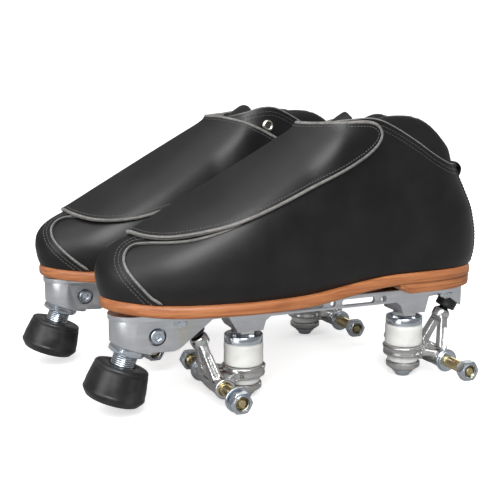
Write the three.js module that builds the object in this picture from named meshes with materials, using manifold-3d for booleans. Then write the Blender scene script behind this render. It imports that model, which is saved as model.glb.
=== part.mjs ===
// Pair of low-cut leather quad roller skates shown without wheels: bare trucks, plates and toe stops.
// Millimetres, +Z up, toes toward -Y. The left skate stands at +X, the right skate at -X.
import * as THREE from "three";
import { mergeVertices } from "three/addons/utils/BufferGeometryUtils.js";
import Module from "manifold-3d";

const wasm = await Module();
wasm.setup();

// ---- driving dimensions -------------------------------------------------------------------
const SKATE_SPACING = 126.5;        // between the two plate centre lines
const RIGHT_LEAD = 18;              // the right skate stands this much further toward -Y
const LEFT_FRONT_AXLE_Y = -47.02;    // front axle of the left skate in the pair's frame
const AXLE_HEIGHT = 14.5;           // axle centre above the floor the kingpins stand on
const CLEAR = 0.3;                  // air left between neighbouring parts

const WHEELBASE = 168;
const AXLE_R = 4;
const AXLE_HALF = 53;
const HANGER_HALF = 22.5;
const AXLE_BOSS_R = 7;
const KINGPIN_Y = 21.5;             // kingpin inboard of its axle
const KINGPIN_R = 4.7;
const RING_R = 14.9;
const RING_Z0 = 1;
const RING_Z1 = 8.8;
const TOP_CUSHION_R = 13.4;
const TOP_CUSHION_Z1 = 24.2;
const BOSS_Z = 34.2;                // underside of the kingpin bosses on the plate
const PIVOT_Y = -14.5;              // pivot ball outboard of the axle
const PIVOT_Z = 36.5;
const PIVOT_TILT = 30;              // degrees the pivot cup leans outboard
const PIVOT_BALL_R = 4.2;
const PIVOT_CUP_R = 7.3;

const PLATE_TOP = 52;
const PLATE_HALF = 13;
const PLATE_NOSE_Y = -54.7;
const PLATE_NOSE_R = 15;
const PLATE_TAIL_Y = 185.5;
const WALL_BOTTOM = 43.2;
const WEB_BOTTOM = 49.6;
const FLANGE_BOTTOM = 48.4;

const STOP_TILT = 19.3;             // degrees the toe stop leans forward at its foot
const STOP_AXIS_Y = -49.9;          // where its axis meets the plate's top face
const STEM_R = 8;
const NUT_FROM = 23.6;              // distances measured down the toe stop axis
const NUT_TO = 28.6;
const STOP_FROM = 36.3;
const STOP_HEIGHT = 24;

const SOLE_THICK = 7.6;
const HEEL_RISE = 6.9;
const TOE_SPRING = 3;
const LEATHER = 4.5;                // upper with its lining
const FOLD_GAP = 0.4;               // half the gap between the sewn and the free half of the flap

// front and instep line of the boot seen from the side, as height then distance along Y
const FRONT_LINE = [
  [52, -67], [60, -71], [68, -74], [78, -75.5], [85, -74.6], [91, -70.5], [96, -63.5],
  [100, -54], [163, 59], [180, 69], [210, 82],
];
const HEEL_LINE = [
  [52, 189], [60, 194], [68, 197.8], [78, 200], [90, 199.8], [107, 196], [122, 188.5],
  [135, 181.5], [150, 177], [210, 171],
];
// half widths of the boot on its outer and inner side, as distance along Y then half width
const OUTER_HALF = [[-76, 28], [-45, 33], [-15, 37.5], [15, 39.5], [45, 37], [75, 31.5],
  [110, 27.5], [150, 27], [200, 26]];
const INNER_HALF = [[-76, 28], [-45, 35], [-15, 40.5], [15, 42], [45, 38], [75, 32],
  [110, 29], [150, 29.5], [200, 28]];
const MIDDLE_LINE = [[-76, -6.5], [-45, -3.5], [-15, -1.5], [15, 0], [45, 0], [200, -1]];
const RING_LEVELS = [54, 61, 68, 78, 87, 93, 97, 101, 112, 126, 144, 163, 184];
const RING_HALF_STEPS = 13;

// ---- materials ----------------------------------------------------------------------------
const paint = (color, roughness, metalness) => new THREE.MeshStandardMaterial({ color, roughness, metalness });
const MATERIALS = {
  leather: () => paint(0x17171a, 0.45, 0),
  sole: () => paint(0xb06a3c, 0.6, 0),
  plate: () => paint(0xa9adb0, 0.4, 1),
  polished: () => paint(0xc8c8c6, 0.2, 1),
  zinc: () => paint(0xb9bfc4, 0.3, 1),
  gold: () => paint(0xb39a5f, 0.35, 1),
  cushion: () => paint(0xe8e8e4, 0.5, 0),
  rubber: () => paint(0x1b1b1d, 0.5, 0),
};

// ---- small helpers ------------------------------------------------------------------------
const rad = (deg) => (deg * Math.PI) / 180;
const clamp01 = (v) => Math.min(1, Math.max(0, v));
const ease = (v) => clamp01(v) ** 2 * (3 - 2 * clamp01(v));

function lookUp(table, key) {
  // straight-line reading of a table of [key, value] rows sorted by key
  if (key <= table[0][0]) return table[0][1];
  for (let i = 1; i < table.length; i += 1) {
    const [k0, v0] = table[i - 1];
    const [k1, v1] = table[i];
    if (key <= k1) return v0 + ((v1 - v0) * (key - k0)) / (k1 - k0);
  }
  return table[table.length - 1][1];
}

function solid(geometry) {
  const plain = new THREE.BufferGeometry();
  plain.setAttribute("position", geometry.getAttribute("position").clone());
  if (geometry.index) plain.setIndex(geometry.index.clone());
  const merged = mergeVertices(plain, 1e-4);
  const mesh = new wasm.Mesh({
    numProp: 3,
    vertProperties: new Float32Array(merged.getAttribute("position").array),
    triVerts: new Uint32Array(merged.index.array),
  });
  mesh.merge();
  return new wasm.Manifold(mesh);
}

function geometryOf(body) {
  const mesh = body.getMesh();
  const geometry = new THREE.BufferGeometry();
  geometry.setAttribute("position", new THREE.BufferAttribute(new Float32Array(mesh.vertProperties), 3));
  geometry.setIndex(new THREE.BufferAttribute(new Uint32Array(mesh.triVerts), 1));
  geometry.computeVertexNormals();
  return geometry;
}

const add = (...bodies) => bodies.reduce((a, b) => a.add(b));
const cut = (base, ...tools) => tools.reduce((a, b) => a.subtract(b), base);

function box(x0, x1, y0, y1, z0, z1) {
  const g = new THREE.BoxGeometry(x1 - x0, y1 - y0, z1 - z0);
  g.translate((x0 + x1) / 2, (y0 + y1) / 2, (z0 + z1) / 2);
  return solid(g);
}

function rodX(r, x0, x1, y, z, sides = 16) {
  const g = new THREE.CylinderGeometry(r, r, x1 - x0, sides);
  g.rotateZ(Math.PI / 2);
  g.translate((x0 + x1) / 2, y, z);
  return solid(g);
}

function turned(profile, sides = 16) {
  // profile rows are [radius, z]; the solid turns about +Z
  const points = profile.map(([r, z]) => new THREE.Vector2(r, z));
  const first = points[0];
  const last = points[points.length - 1];
  if (first.x > 1e-6 || last.x > 1e-6) points.push(first.clone());
  const g = new THREE.LatheGeometry(points, sides);
  g.rotateX(Math.PI / 2);
  const body = solid(g);
  return body.volume() < 0 ? solid(flipped(g)) : body;
}

function flipped(geometry) {
  const g = geometry.index ? geometry.toNonIndexed() : geometry.clone();
  const p = g.getAttribute("position");
  for (let i = 0; i < p.count; i += 3) {
    const a = [p.getX(i), p.getY(i), p.getZ(i)];
    p.setXYZ(i, p.getX(i + 1), p.getY(i + 1), p.getZ(i + 1));
    p.setXYZ(i + 1, ...a);
  }
  return g;
}

function prismX(points, x0, x1) {
  // side view outline given as [y, z], pushed out along X
  const shape = new THREE.Shape(points.map(([y, z]) => new THREE.Vector2(y, z)));
  const g = new THREE.ExtrudeGeometry(shape, { depth: x1 - x0, bevelEnabled: false });
  const m = new THREE.Matrix4().set(0, 0, 1, x0, 1, 0, 0, 0, 0, 1, 0, 0, 0, 0, 0, 1);
  g.applyMatrix4(m);
  return solid(g);
}

function prismZ(points, z0, z1) {
  const shape = new THREE.Shape(points.map(([x, y]) => new THREE.Vector2(x, y)));
  const g = new THREE.ExtrudeGeometry(shape, { depth: z1 - z0, bevelEnabled: false });
  g.translate(0, 0, z0);
  return solid(g);
}

function hexagon(acrossFlats, turn = 0) {
  const r = acrossFlats / 2 / Math.cos(Math.PI / 6);
  return Array.from({ length: 6 }, (_, i) => [
    r * Math.cos(turn + (i * Math.PI) / 3),
    r * Math.sin(turn + (i * Math.PI) / 3),
  ]);
}

// ---- boot surfaces ------------------------------------------------------------------------
function offsetLine(line, grow) {
  // moves the front line outward by grow, square to itself
  return line.map(([z, y], i) => {
    const [za, ya] = line[Math.max(0, i - 1)];
    const [zb, yb] = line[Math.min(line.length - 1, i + 1)];
    const length = Math.hypot(yb - ya, zb - za);
    return [z + (grow * (yb - ya)) / length, y - (grow * (zb - za)) / length];
  });
}

const roundEnd = (u) => (1 - (1 - clamp01(u)) ** 2.3) ** 0.476;

function soleLift(y) {
  return HEEL_RISE * ease((y - 45) / 85) + TOE_SPRING * clamp01((-28 - y) / 45) ** 2;
}

const soleBottom = (y) => PLATE_TOP + CLEAR + soleLift(y);
const soleTop = (y) => soleBottom(y) + SOLE_THICK;

function edgeX(side, y, grow, noseY, heelY, squeeze = 1) {
  const half = lookUp(side > 0 ? OUTER_HALF : INNER_HALF, y) + grow;
  const round = roundEnd((y - noseY) / 54) * roundEnd((heelY - y) / 46);
  return lookUp(MIDDLE_LINE, y) + side * half * round * squeeze;
}

function bootBody(grow) {
  // closed body of the boot grown outward by grow, standing well above the collar
  const front = offsetLine(FRONT_LINE, grow);
  const rise = front.filter(([z]) => z >= 78).map(([z, y]) => [y, z]);
  const rings = RING_LEVELS.map((z) => {
    const noseY = lookUp(front, z);
    const heelY = lookUp(HEEL_LINE, z) + grow;
    const inset = -3 * (1 - ease((z - 58) / 16));
    const pointAt = (side, i) => {
      const y = noseY + ((heelY - noseY) * (1 - Math.cos((Math.PI * i) / RING_HALF_STEPS))) / 2;
      const t = clamp01((z - 58) / (lookUp(rise, y) - 58));
      const arch = (1 - t ** 2.8) ** 0.5;
      const wall = arch + (1 - arch) * ease((y - 62) / 50);
      const open = 1 - 0.16 * ease((z - 95) / 70) * ease((y - 60) / 60);
      return [edgeX(side, y, grow + inset, noseY, heelY, wall * open), y, z];
    };
    const ring = [];
    for (let i = 0; i < RING_HALF_STEPS; i += 1) ring.push(pointAt(1, i));
    for (let i = RING_HALF_STEPS; i > 0; i -= 1) ring.push(pointAt(-1, i));
    return ring;
  });
  return loftRings(rings);
}

function loftRings(rings) {
  const n = rings[0].length;
  const at = (k, i) => k * n + ((i + n) % n);
  const faces = [];
  for (let k = 0; k + 1 < rings.length; k += 1) {
    for (let i = 0; i < n; i += 1) {
      faces.push(at(k, i), at(k, i + 1), at(k + 1, i + 1));
      faces.push(at(k, i), at(k + 1, i + 1), at(k + 1, i));
    }
  }
  const last = rings.length - 1;
  for (let i = 0; i < n / 2; i += 1) {
    faces.push(at(0, i), at(0, -i - 1), at(0, i + 1));
    if (i > 0) faces.push(at(0, i), at(0, -i), at(0, -i - 1));
    faces.push(at(last, i), at(last, i + 1), at(last, -i - 1));
    if (i > 0) faces.push(at(last, i), at(last, -i - 1), at(last, -i));
  }
  const g = new THREE.BufferGeometry();
  g.setAttribute("position", new THREE.Float32BufferAttribute(rings.flat(2), 3));
  g.setIndex(faces.filter((_, j) => {
    const t = Math.floor(j / 3) * 3;
    return faces[t] !== faces[t + 1] && faces[t + 1] !== faces[t + 2] && faces[t] !== faces[t + 2];
  }));
  const body = solid(g);
  return body.volume() < 0 ? solid(flipped(g)) : body;
}

function slab(stations) {
  // stations rows are {y, left, right, low, high}; a closed plank along Y
  const rings = stations.map((s) => [
    [s.left, s.y, s.low], [s.right, s.y, s.low], [s.right, s.y, s.high], [s.left, s.y, s.high],
  ]);
  return loftRings(rings);
}

function plankUnderBoot(y0, y1, steps, low, high, grow, noseY, heelY) {
  const stations = [];
  for (let i = 0; i <= steps; i += 1) {
    const y = y0 + ((y1 - y0) * (1 - Math.cos((Math.PI * i) / steps))) / 2;
    const inside = Math.min(Math.max(y, noseY + 0.25), heelY - 0.25);
    stations.push({
      y,
      left: edgeX(-1, inside, grow, noseY, heelY),
      right: edgeX(1, inside, grow, noseY, heelY),
      low: low(y),
      high: high(y),
    });
  }
  return slab(stations);
}

function belowSole(above) {
  const ys = Array.from({ length: 30 }, (_, i) => -95 + i * 11);
  return slab(ys.map((y) => ({ y, left: -80, right: 80, low: 20, high: soleTop(y) + above })));
}

// ---- boot parts ---------------------------------------------------------------------------
function bootUpper() {
  const outer = cut(bootBody(0), belowSole(CLEAR));
  const inner = cut(bootBody(-LEATHER), belowSole(CLEAR + 3));
  const collar = prismX([[20, 230], [44, 172], [66, 170], [98, 170.5], [110, 173], [122, 176.2], [134, 177],
    [146, 175], [156, 169.5], [166, 162.5], [176, 153], [190, 140], [230, 136], [230, 230]], -90, 90);
  const throat = prismZ([[-9, 24], [-6, 16], [6, 16], [9, 24], [13, 100], [-13, 100]], 100, 220);
  return cut(add(outer, innerFlapPanel()), inner, collar, throat);
}

function innerFlapPanel() {
  // the sewn-down half of the instep flap, on the inner side of the foot
  const region = prismX([[-57, 120], [-57, 103.5], [-52, 101], [-44.7, 98.8], [-37, 97.4], [-27, 97.1],
    [-16.6, 97.6], [-5.7, 98.8], [13, 103.2], [50, 112], [84, 126], [102, 139], [96, 150], [66, 168.5],
    [30, 168.5]], -80, 0);
  const beside = prismZ([[-80, -60], [-FOLD_GAP - 4.6, -60], [-FOLD_GAP, 15], [-FOLD_GAP, 120], [-80, 120]],
    60, 220);
  return bootBody(3).intersect(region).intersect(beside);
}

function tongue() {
  const shell = cut(bootBody(-LEATHER - 0.4), bootBody(-LEATHER - 4));
  const region = prismX([[8, 95], [8, 150], [40, 173], [86, 173], [70, 150], [38, 116]], -21, 21);
  return shell.intersect(region);
}

function instepFlap() {
  // the free half, which folds open about the ridge and closes on the outer side
  const shell = cut(bootBody(3), bootBody(0.4));
  const region = prismX([[-57, 120], [-57, 103.5], [-54.5, 102.5], [-47.3, 101.3], [-37, 101.2], [-25.8, 102.6],
    [-14, 105], [-1.4, 108], [19.8, 115], [50, 127], [84, 141.5], [101, 151], [108, 158.5], [107, 166],
    [100, 170], [66, 168.5], [30, 168.5]], -20, 80);
  const beside = prismZ([[80, -60], [80, 120], [FOLD_GAP, 120], [FOLD_GAP, 15], [FOLD_GAP - 4.6, -60]], 60, 220);
  return shell.intersect(region).intersect(beside);
}

function outsole() {
  return plankUnderBoot(-73.8, 196.8, 24, soleBottom, soleTop, 1.2, -73.9, 196.9);
}

function heelLift() {
  const low = (y) => (y < 134 ? PLATE_TOP + CLEAR + (134 - y) * 0.5 : PLATE_TOP + CLEAR);
  const plank = plankUnderBoot(126, 196.2, 14, low, (y) => soleBottom(y) - CLEAR, 0.6, -73.9, 196.4);
  return plank;
}

// ---- plate --------------------------------------------------------------------------------
function onStopAxis(body) {
  // a body built down -Z from its own origin is set on the toe stop axis
  return body.rotate([-STOP_TILT, 0, 0]).translate([0, STOP_AXIS_Y, PLATE_TOP]);
}

function onPivot(body, front) {
  const tilt = front ? PIVOT_TILT : -PIVOT_TILT;
  const y = front ? PIVOT_Y : WHEELBASE - PIVOT_Y;
  return body.rotate([tilt, 0, 0]).translate([0, y, PIVOT_Z]);
}

function slotX(y0, y1, z, r) {
  return add(rodX(r, -20, 20, y0 + r, z, 12), rodX(r, -20, 20, y1 - r, z, 12),
    box(-20, 20, y0 + r, y1 - r, z - r, z + r));
}

function plate() {
  const rearKing = WHEELBASE - KINGPIN_Y;
  const side = prismX([
    [PLATE_NOSE_Y, PLATE_TOP], [PLATE_NOSE_Y, 30.2], [-44, 27.3], [-31, 26.6], [-26.5, 28.6],
    [-5, 45], [6, 45.4], [12.6, BOSS_Z], [30.4, BOSS_Z], [32.4, 40.6], [36, WALL_BOTTOM],
    [rearKing - 14.5, WALL_BOTTOM], [rearKing - 10.9, 40.6], [rearKing - 8.9, BOSS_Z],
    [rearKing + 8.9, BOSS_Z], [rearKing + 12, 45.4], [170.5, 46.4], [173.5, 45], [PLATE_TAIL_Y, 36.6],
    [PLATE_TAIL_Y, PLATE_TOP],
  ], -PLATE_HALF, PLATE_HALF);
  const noseRod = new THREE.CylinderGeometry(PLATE_NOSE_R, PLATE_NOSE_R, 30, 24);
  noseRod.rotateX(Math.PI / 2);
  noseRod.translate(0, PLATE_NOSE_Y, PLATE_TOP - 15);
  const noseCut = onStopAxis(box(-30, 30, -50, 50, -60, -23.3));
  const neck = prismZ([[-PLATE_NOSE_R, PLATE_NOSE_Y], [PLATE_NOSE_R, PLATE_NOSE_Y], [PLATE_HALF, -28],
    [-PLATE_HALF, -28]], 27.5, PLATE_TOP);
  const flange = prismZ([[-PLATE_NOSE_R, PLATE_NOSE_Y], [PLATE_NOSE_R, PLATE_NOSE_Y], [16, -44],
    [22, -34], [22, -22], [14, -4], [PLATE_HALF, 12], [-PLATE_HALF, 12], [-14, -4], [-22, -22],
    [-22, -34], [-16, -44]], FLANGE_BOTTOM, PLATE_TOP);
  const tailFlange = prismZ([[-PLATE_HALF, 150], [PLATE_HALF, 150], [19, 165], [19, 177],
    [PLATE_HALF, PLATE_TAIL_Y], [-PLATE_HALF, PLATE_TAIL_Y], [-19, 177], [-19, 165]],
  FLANGE_BOTTOM, PLATE_TOP);
  const channel = box(-10, 10, 36, rearKing - 14.5, 30, WEB_BOTTOM);
  const slots = [slotX(48.5, 75, 47.1, 2.1), slotX(89, 114.6, 47.1, 2.1), slotX(39.2, 43.4, 47.1, 2.09),
    slotX(80, 84.2, 47.1, 2.09), slotX(119.6, 123.8, 47.1, 2.09)];
  const bores = [KINGPIN_Y, rearKing].map((y) => solid(
    new THREE.CylinderGeometry(KINGPIN_R + CLEAR, KINGPIN_R + CLEAR, 20, 16).rotateX(Math.PI / 2)
      .translate(0, y, 48.6 - 10),
  ));
  const cupBores = [true, false].map((front) => onPivot(
    turned([[0, -12], [PIVOT_CUP_R + CLEAR, -12], [PIVOT_CUP_R + CLEAR, 6.9], [0, 6.9]]), front,
  ));
  const stemBore = onStopAxis(turned([[0, -40], [STEM_R + CLEAR, -40], [STEM_R + CLEAR, -6], [0, -6]]));
  const pinch = [rodX(5.3, 10.5, 30, -42.4, 37.6), rodX(2.8, -8, 12, -42.4, 37.6, 12)];
  return cut(add(cut(add(side, neck), box(-30, 30, -75, PLATE_NOSE_Y - 0.01, 0, 20)), solid(noseRod), flange,
    tailFlange), noseCut, channel, ...slots, ...bores, ...cupBores, stemBore, ...pinch);
}

function pinchBolt() {
  const head = rodX(4.8, 10.8, 15.4, -42.4, 37.6);
  const shank = rodX(2.5, -7.6, 11, -42.4, 37.6, 12);
  const key = prismX(hexagon(5).map(([a, b]) => [a - 42.4, b + 37.6]), 12.9, 20);
  return cut(add(head, shank), key);
}

// ---- toe stop -----------------------------------------------------------------------------
function toeStop() {
  const top = -STOP_FROM;
  const foot = top - STOP_HEIGHT;
  return onStopAxis(turned([
    [STEM_R + CLEAR, top - 15], [STEM_R + CLEAR, top], [16, top], [18, top - 1.6], [20.6, top - 16],
    [20.6, top - 20], [18.4, foot + 0.8], [15.5, foot], [0, foot], [0, top - 15],
  ], 20));
}

function toeStopStem() {
  return onStopAxis(turned([[0, -13], [STEM_R - 1, -13], [STEM_R, -14], [STEM_R, -STOP_FROM - 14.6],
    [0, -STOP_FROM - 14.6]]));
}

function jamNut() {
  const hex = prismZ(hexagon(22, Math.PI / 6), -NUT_TO, -NUT_FROM);
  const bore = turned([[0, -40], [STEM_R + CLEAR, -40], [STEM_R + CLEAR, 0], [0, 0]]);
  return onStopAxis(cut(hex, bore));
}

// ---- truck (built at the front axle, toward the pivot in -Y) ---------------------------------
function strut(from, to, wide, deep) {
  const a = new THREE.Vector3(...from);
  const b = new THREE.Vector3(...to);
  const g = new THREE.BoxGeometry(wide, deep, a.distanceTo(b));
  const turn = new THREE.Quaternion().setFromUnitVectors(
    new THREE.Vector3(0, 0, 1), b.clone().sub(a).normalize(),
  );
  g.applyQuaternion(turn);
  const middle = a.clone().add(b).multiplyScalar(0.5);
  g.translate(middle.x, middle.y, middle.z);
  return solid(g);
}

function hanger() {
  const ring = turned([[KINGPIN_R + 2.2, RING_Z0], [RING_R - 0.9, RING_Z0], [RING_R, RING_Z0 + 1.2],
    [RING_R, RING_Z1 - 1], [RING_R - 0.8, RING_Z1], [KINGPIN_R + 2.2, RING_Z1]]).translate([0, KINGPIN_Y, 0]);
  const boss = rodX(AXLE_BOSS_R, -HANGER_HALF, HANGER_HALF, 0, 0);
  const web = prismZ([[-20, -3], [20, -3], [19, 4], [12.5, 14], [-12.5, 14], [-19, 4]], RING_Z0, 6.6);
  const rib = prismZ([[-4, 3], [4, 3], [4, 9], [-4, 9]], -3.5, 7.4);
  const legs = [-1, 1].map((s) => strut([s * 12.5, -1.5, 1], [s * 3.8, -9, 25.6], 6, 6.4));
  const crown = strut([0, -7, 21.6], [0, -9.6, 27.4], 11, 6);
  const neck = onPivot(turned([[0, -12], [3, -12], [3, 0], [0, 0]], 12), true);
  const ball = solid(new THREE.SphereGeometry(PIVOT_BALL_R, 10, 6).translate(0, PIVOT_Y, PIVOT_Z));
  const clearRing = turned([[0, -6], [KINGPIN_R + 2.2, -6], [KINGPIN_R + 2.2, 30], [0, 30]])
    .translate([0, KINGPIN_Y, 0]);
  const bore = rodX(AXLE_R + CLEAR, -40, 40, 0, 0);
  return cut(add(ring, boss, web, rib, ...legs, crown, neck, ball), clearRing, bore);
}

function axle() {
  const g = new THREE.CylinderGeometry(AXLE_R, AXLE_R, AXLE_HALF * 2 - 1.6, 16);
  g.rotateZ(Math.PI / 2);
  const tip = (s) => {
    const c = new THREE.CylinderGeometry(AXLE_R - 0.8, AXLE_R, 0.8, 16);
    c.rotateZ((-s * Math.PI) / 2);
    c.translate(s * (AXLE_HALF - 0.4), 0, 0);
    return solid(c);
  };
  return add(solid(g), tip(1), tip(-1));
}

function axleNut(side) {
  const from = side > 0 ? 45.2 : -51.7;
  const hex = prismX(hexagon(13, Math.PI / 6), from, from + 6.5);
  return cut(hex, rodX(AXLE_R + CLEAR, -60, 60, 0, 0));
}

function kingpin() {
  const rod = turned([[0, -14.5], [4.6, -14.5], [5.4, -13.6], [5.4, -12.2], [7.3, -11.6], [7.3, -9.7],
    [KINGPIN_R, -9.7], [KINGPIN_R, 46.4], [KINGPIN_R - 1, 47.4], [0, 47.4]]);
  const lockNut = prismZ(hexagon(16, Math.PI / 6), 29.9, BOSS_Z - CLEAR);
  return add(rod, lockNut).translate([0, KINGPIN_Y, 0]);
}

function ringBody(profile, sides = 16) {
  return turned(profile, sides).translate([0, KINGPIN_Y, 0]);
}

const HOLE = KINGPIN_R + CLEAR;
const topRetainer = () => ringBody([[HOLE, 24.5], [12.6, 24.5], [12.6, 27.6], [10.6, 29.6], [HOLE, 29.6]]);
const topCushion = () => ringBody([[HOLE, RING_Z1 + CLEAR], [12.6, RING_Z1 + CLEAR], [TOP_CUSHION_R, 10.6],
  [TOP_CUSHION_R, 22.4], [12.8, TOP_CUSHION_Z1], [HOLE, TOP_CUSHION_Z1]]);
const bottomCushion = () => ringBody([[HOLE, -3.5], [10.9, -3.5], [11.4, RING_Z0 - CLEAR],
  [HOLE, RING_Z0 - CLEAR]]);
const bottomCup = () => ringBody([[HOLE, -9.4], [9.2, -9.4], [12.2, -7.2], [12.2, -3.8], [HOLE, -3.8]]);

function pivotCup() {
  const cup = turned([[5.2, -6.2], [PIVOT_CUP_R, -6.2], [PIVOT_CUP_R, 6.6], [0, 6.6], [0, 4.5],
    [2.6, 3.8], [4.5, 1.2], [4.5, -1.5]]);
  return onPivot(cup, true);
}

// ---- assembly -----------------------------------------------------------------------------
const TRUCK_PARTS = [
  ["kingpin", kingpin, "zinc"],
  ["top_retainer", topRetainer, "zinc"],
  ["top_cushion", topCushion, "cushion"],
  ["hanger", hanger, "polished"],
  ["bottom_cushion", bottomCushion, "cushion"],
  ["bottom_cup", bottomCup, "zinc"],
  ["axle", axle, "gold"],
  ["axle_nut_a", () => axleNut(1), "zinc"],
  ["axle_nut_b", () => axleNut(-1), "zinc"],
  ["pivot_cup", pivotCup, "rubber"],
];

const BOOT_PARTS = [
  ["boot_upper", bootUpper, "leather"],
  ["tongue", tongue, "leather"],
  ["instep_flap", instepFlap, "leather"],
  ["outsole", outsole, "sole"],
  ["heel_lift", heelLift, "sole"],
];

const PLATE_PARTS = [
  ["plate", plate, "plate"],
  ["pinch_bolt", pinchBolt, "zinc"],
  ["toe_stop", toeStop, "rubber"],
  ["toe_stop_stem", toeStopStem, "zinc"],
  ["toe_stop_jam_nut", jamNut, "zinc"],
];

function addPart(group, name, body, material) {
  const mesh = new THREE.Mesh(geometryOf(body), MATERIALS[material]());
  mesh.name = name;
  group.add(mesh);
  return mesh;
}

function skate(prefix, mirrored) {
  const skateGroup = new THREE.Group();
  for (const [name, make, material] of BOOT_PARTS) {
    const body = make();
    addPart(skateGroup, `${prefix}_${name}`, mirrored ? body.mirror([1, 0, 0]) : body, material);
  }
  for (const [name, make, material] of PLATE_PARTS) {
    addPart(skateGroup, `${prefix}_${name}`, make(), material);
  }
  for (const end of ["front", "rear"]) {
    const truck = new THREE.Group();
    for (const [name, make, material] of TRUCK_PARTS) {
      addPart(truck, `${prefix}_${end}_${name}`, make(), material);
    }
    if (end === "rear") {
      truck.rotation.z = Math.PI;
      truck.position.y = WHEELBASE;
    }
    skateGroup.add(truck);
  }
  return skateGroup;
}

const group = new THREE.Group();
const left = skate("left", false);
left.position.set(SKATE_SPACING / 2, LEFT_FRONT_AXLE_Y, AXLE_HEIGHT);
group.add(left);
const right = skate("right", true);
right.position.set(-SKATE_SPACING / 2, LEFT_FRONT_AXLE_Y - RIGHT_LEAD, AXLE_HEIGHT);
group.add(right);

export default group;
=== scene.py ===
"""Visual model of a pair of low-cut leather quad roller skates standing without wheels.

Each sub-assembly is a class that builds its meshes and dresses them; each finish is a small frozen
dataclass. Sizes are millimetres in one skate's own frame: the origin is the middle of the front axle,
+X is the outer side of the left foot, +Y runs from toe to heel and +Z is up.
"""
import logging
import math
from dataclasses import dataclass, field
from enum import Enum
from typing import Callable, Iterable, Sequence

import bpy
import numpy as np
from mathutils import Matrix, Vector
from mathutils.bvhtree import BVHTree


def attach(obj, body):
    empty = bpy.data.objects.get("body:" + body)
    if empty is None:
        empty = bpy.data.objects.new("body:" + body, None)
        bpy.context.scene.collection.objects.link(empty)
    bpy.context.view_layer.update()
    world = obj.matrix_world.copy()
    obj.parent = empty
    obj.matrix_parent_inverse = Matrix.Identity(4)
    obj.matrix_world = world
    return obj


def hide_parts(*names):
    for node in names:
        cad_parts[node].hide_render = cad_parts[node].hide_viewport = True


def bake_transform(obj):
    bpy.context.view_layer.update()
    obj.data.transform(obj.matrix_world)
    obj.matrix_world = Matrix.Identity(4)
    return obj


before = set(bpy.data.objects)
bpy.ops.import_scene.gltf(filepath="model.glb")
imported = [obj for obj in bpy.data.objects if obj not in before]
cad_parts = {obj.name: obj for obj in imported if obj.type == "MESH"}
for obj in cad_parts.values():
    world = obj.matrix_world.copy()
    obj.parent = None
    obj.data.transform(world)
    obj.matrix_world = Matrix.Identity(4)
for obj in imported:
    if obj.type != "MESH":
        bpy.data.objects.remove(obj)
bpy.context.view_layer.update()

LOG = logging.getLogger("skates")
MM = 0.001
WHEELBASE = 168.0
PLATE_TOP = 52.0
SOLE_THICK = 7.6
CLEAR = 0.3

Obj = bpy.types.Object
Rows = Sequence[tuple[float, float]]


class Side(Enum):
    """The two skates of the pair, with the place of each front axle and its mirror sign."""

    LEFT = ("left", (63.25, -47.02, 14.5), 1)
    RIGHT = ("right", (-63.25, -65.02, 14.5), -1)

    @property
    def word(self) -> str:
        """Name used at the front of every piece."""
        return self.value[0]

    @property
    def origin(self) -> Vector:
        """Middle of the front axle in metres."""
        return Vector(self.value[1]) * MM

    @property
    def sign(self) -> int:
        """1 for the left boot, -1 for its mirror image."""
        return self.value[2]


class End(Enum):
    """The two trucks of a skate."""

    FRONT = "front"
    REAR = "rear"


class Axis(Enum):
    """Direction that an outline is pushed along."""

    X = 0
    Z = 2


class Join(Enum):
    """What a boolean does with its tool."""

    CUT = "DIFFERENCE"
    ADD = "UNION"
    KEEP = "INTERSECT"


# ---- shader tree -----------------------------------------------------------------------------
class Wire:
    """A shader socket that takes part in arithmetic."""

    def __init__(self, tree: "Tree", socket: bpy.types.NodeSocket) -> None:
        """Keeps the tree and the output socket."""
        self.tree = tree
        self.socket = socket

    def _do(self, operation: str, a: object, b: object) -> "Wire":
        """Adds one Math node and returns its output."""
        return self.tree.add("ShaderNodeMath", {"operation": operation}, {0: a, 1: b})

    def __add__(self, other: object) -> "Wire":
        """Sum."""
        return self._do("ADD", self, other)

    def __radd__(self, other: object) -> "Wire":
        """Sum with a number on the left."""
        return self._do("ADD", other, self)

    def __sub__(self, other: object) -> "Wire":
        """Difference."""
        return self._do("SUBTRACT", self, other)

    def __rsub__(self, other: object) -> "Wire":
        """Difference with a number on the left."""
        return self._do("SUBTRACT", other, self)

    def __mul__(self, other: object) -> "Wire":
        """Product."""
        return self._do("MULTIPLY", self, other)

    def __rmul__(self, other: object) -> "Wire":
        """Product with a number on the left."""
        return self._do("MULTIPLY", other, self)

    def __truediv__(self, other: object) -> "Wire":
        """Quotient."""
        return self._do("DIVIDE", self, other)

    def __pow__(self, other: object) -> "Wire":
        """Power."""
        return self._do("POWER", self, other)

    def above(self, low: float, high: float) -> "Wire":
        """A soft step from 0 at low to 1 at high."""
        return self.tree.add("ShaderNodeMapRange", {"interpolation_type": "SMOOTHSTEP"},
                             {"Value": self, "From Min": low, "From Max": high})


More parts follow.
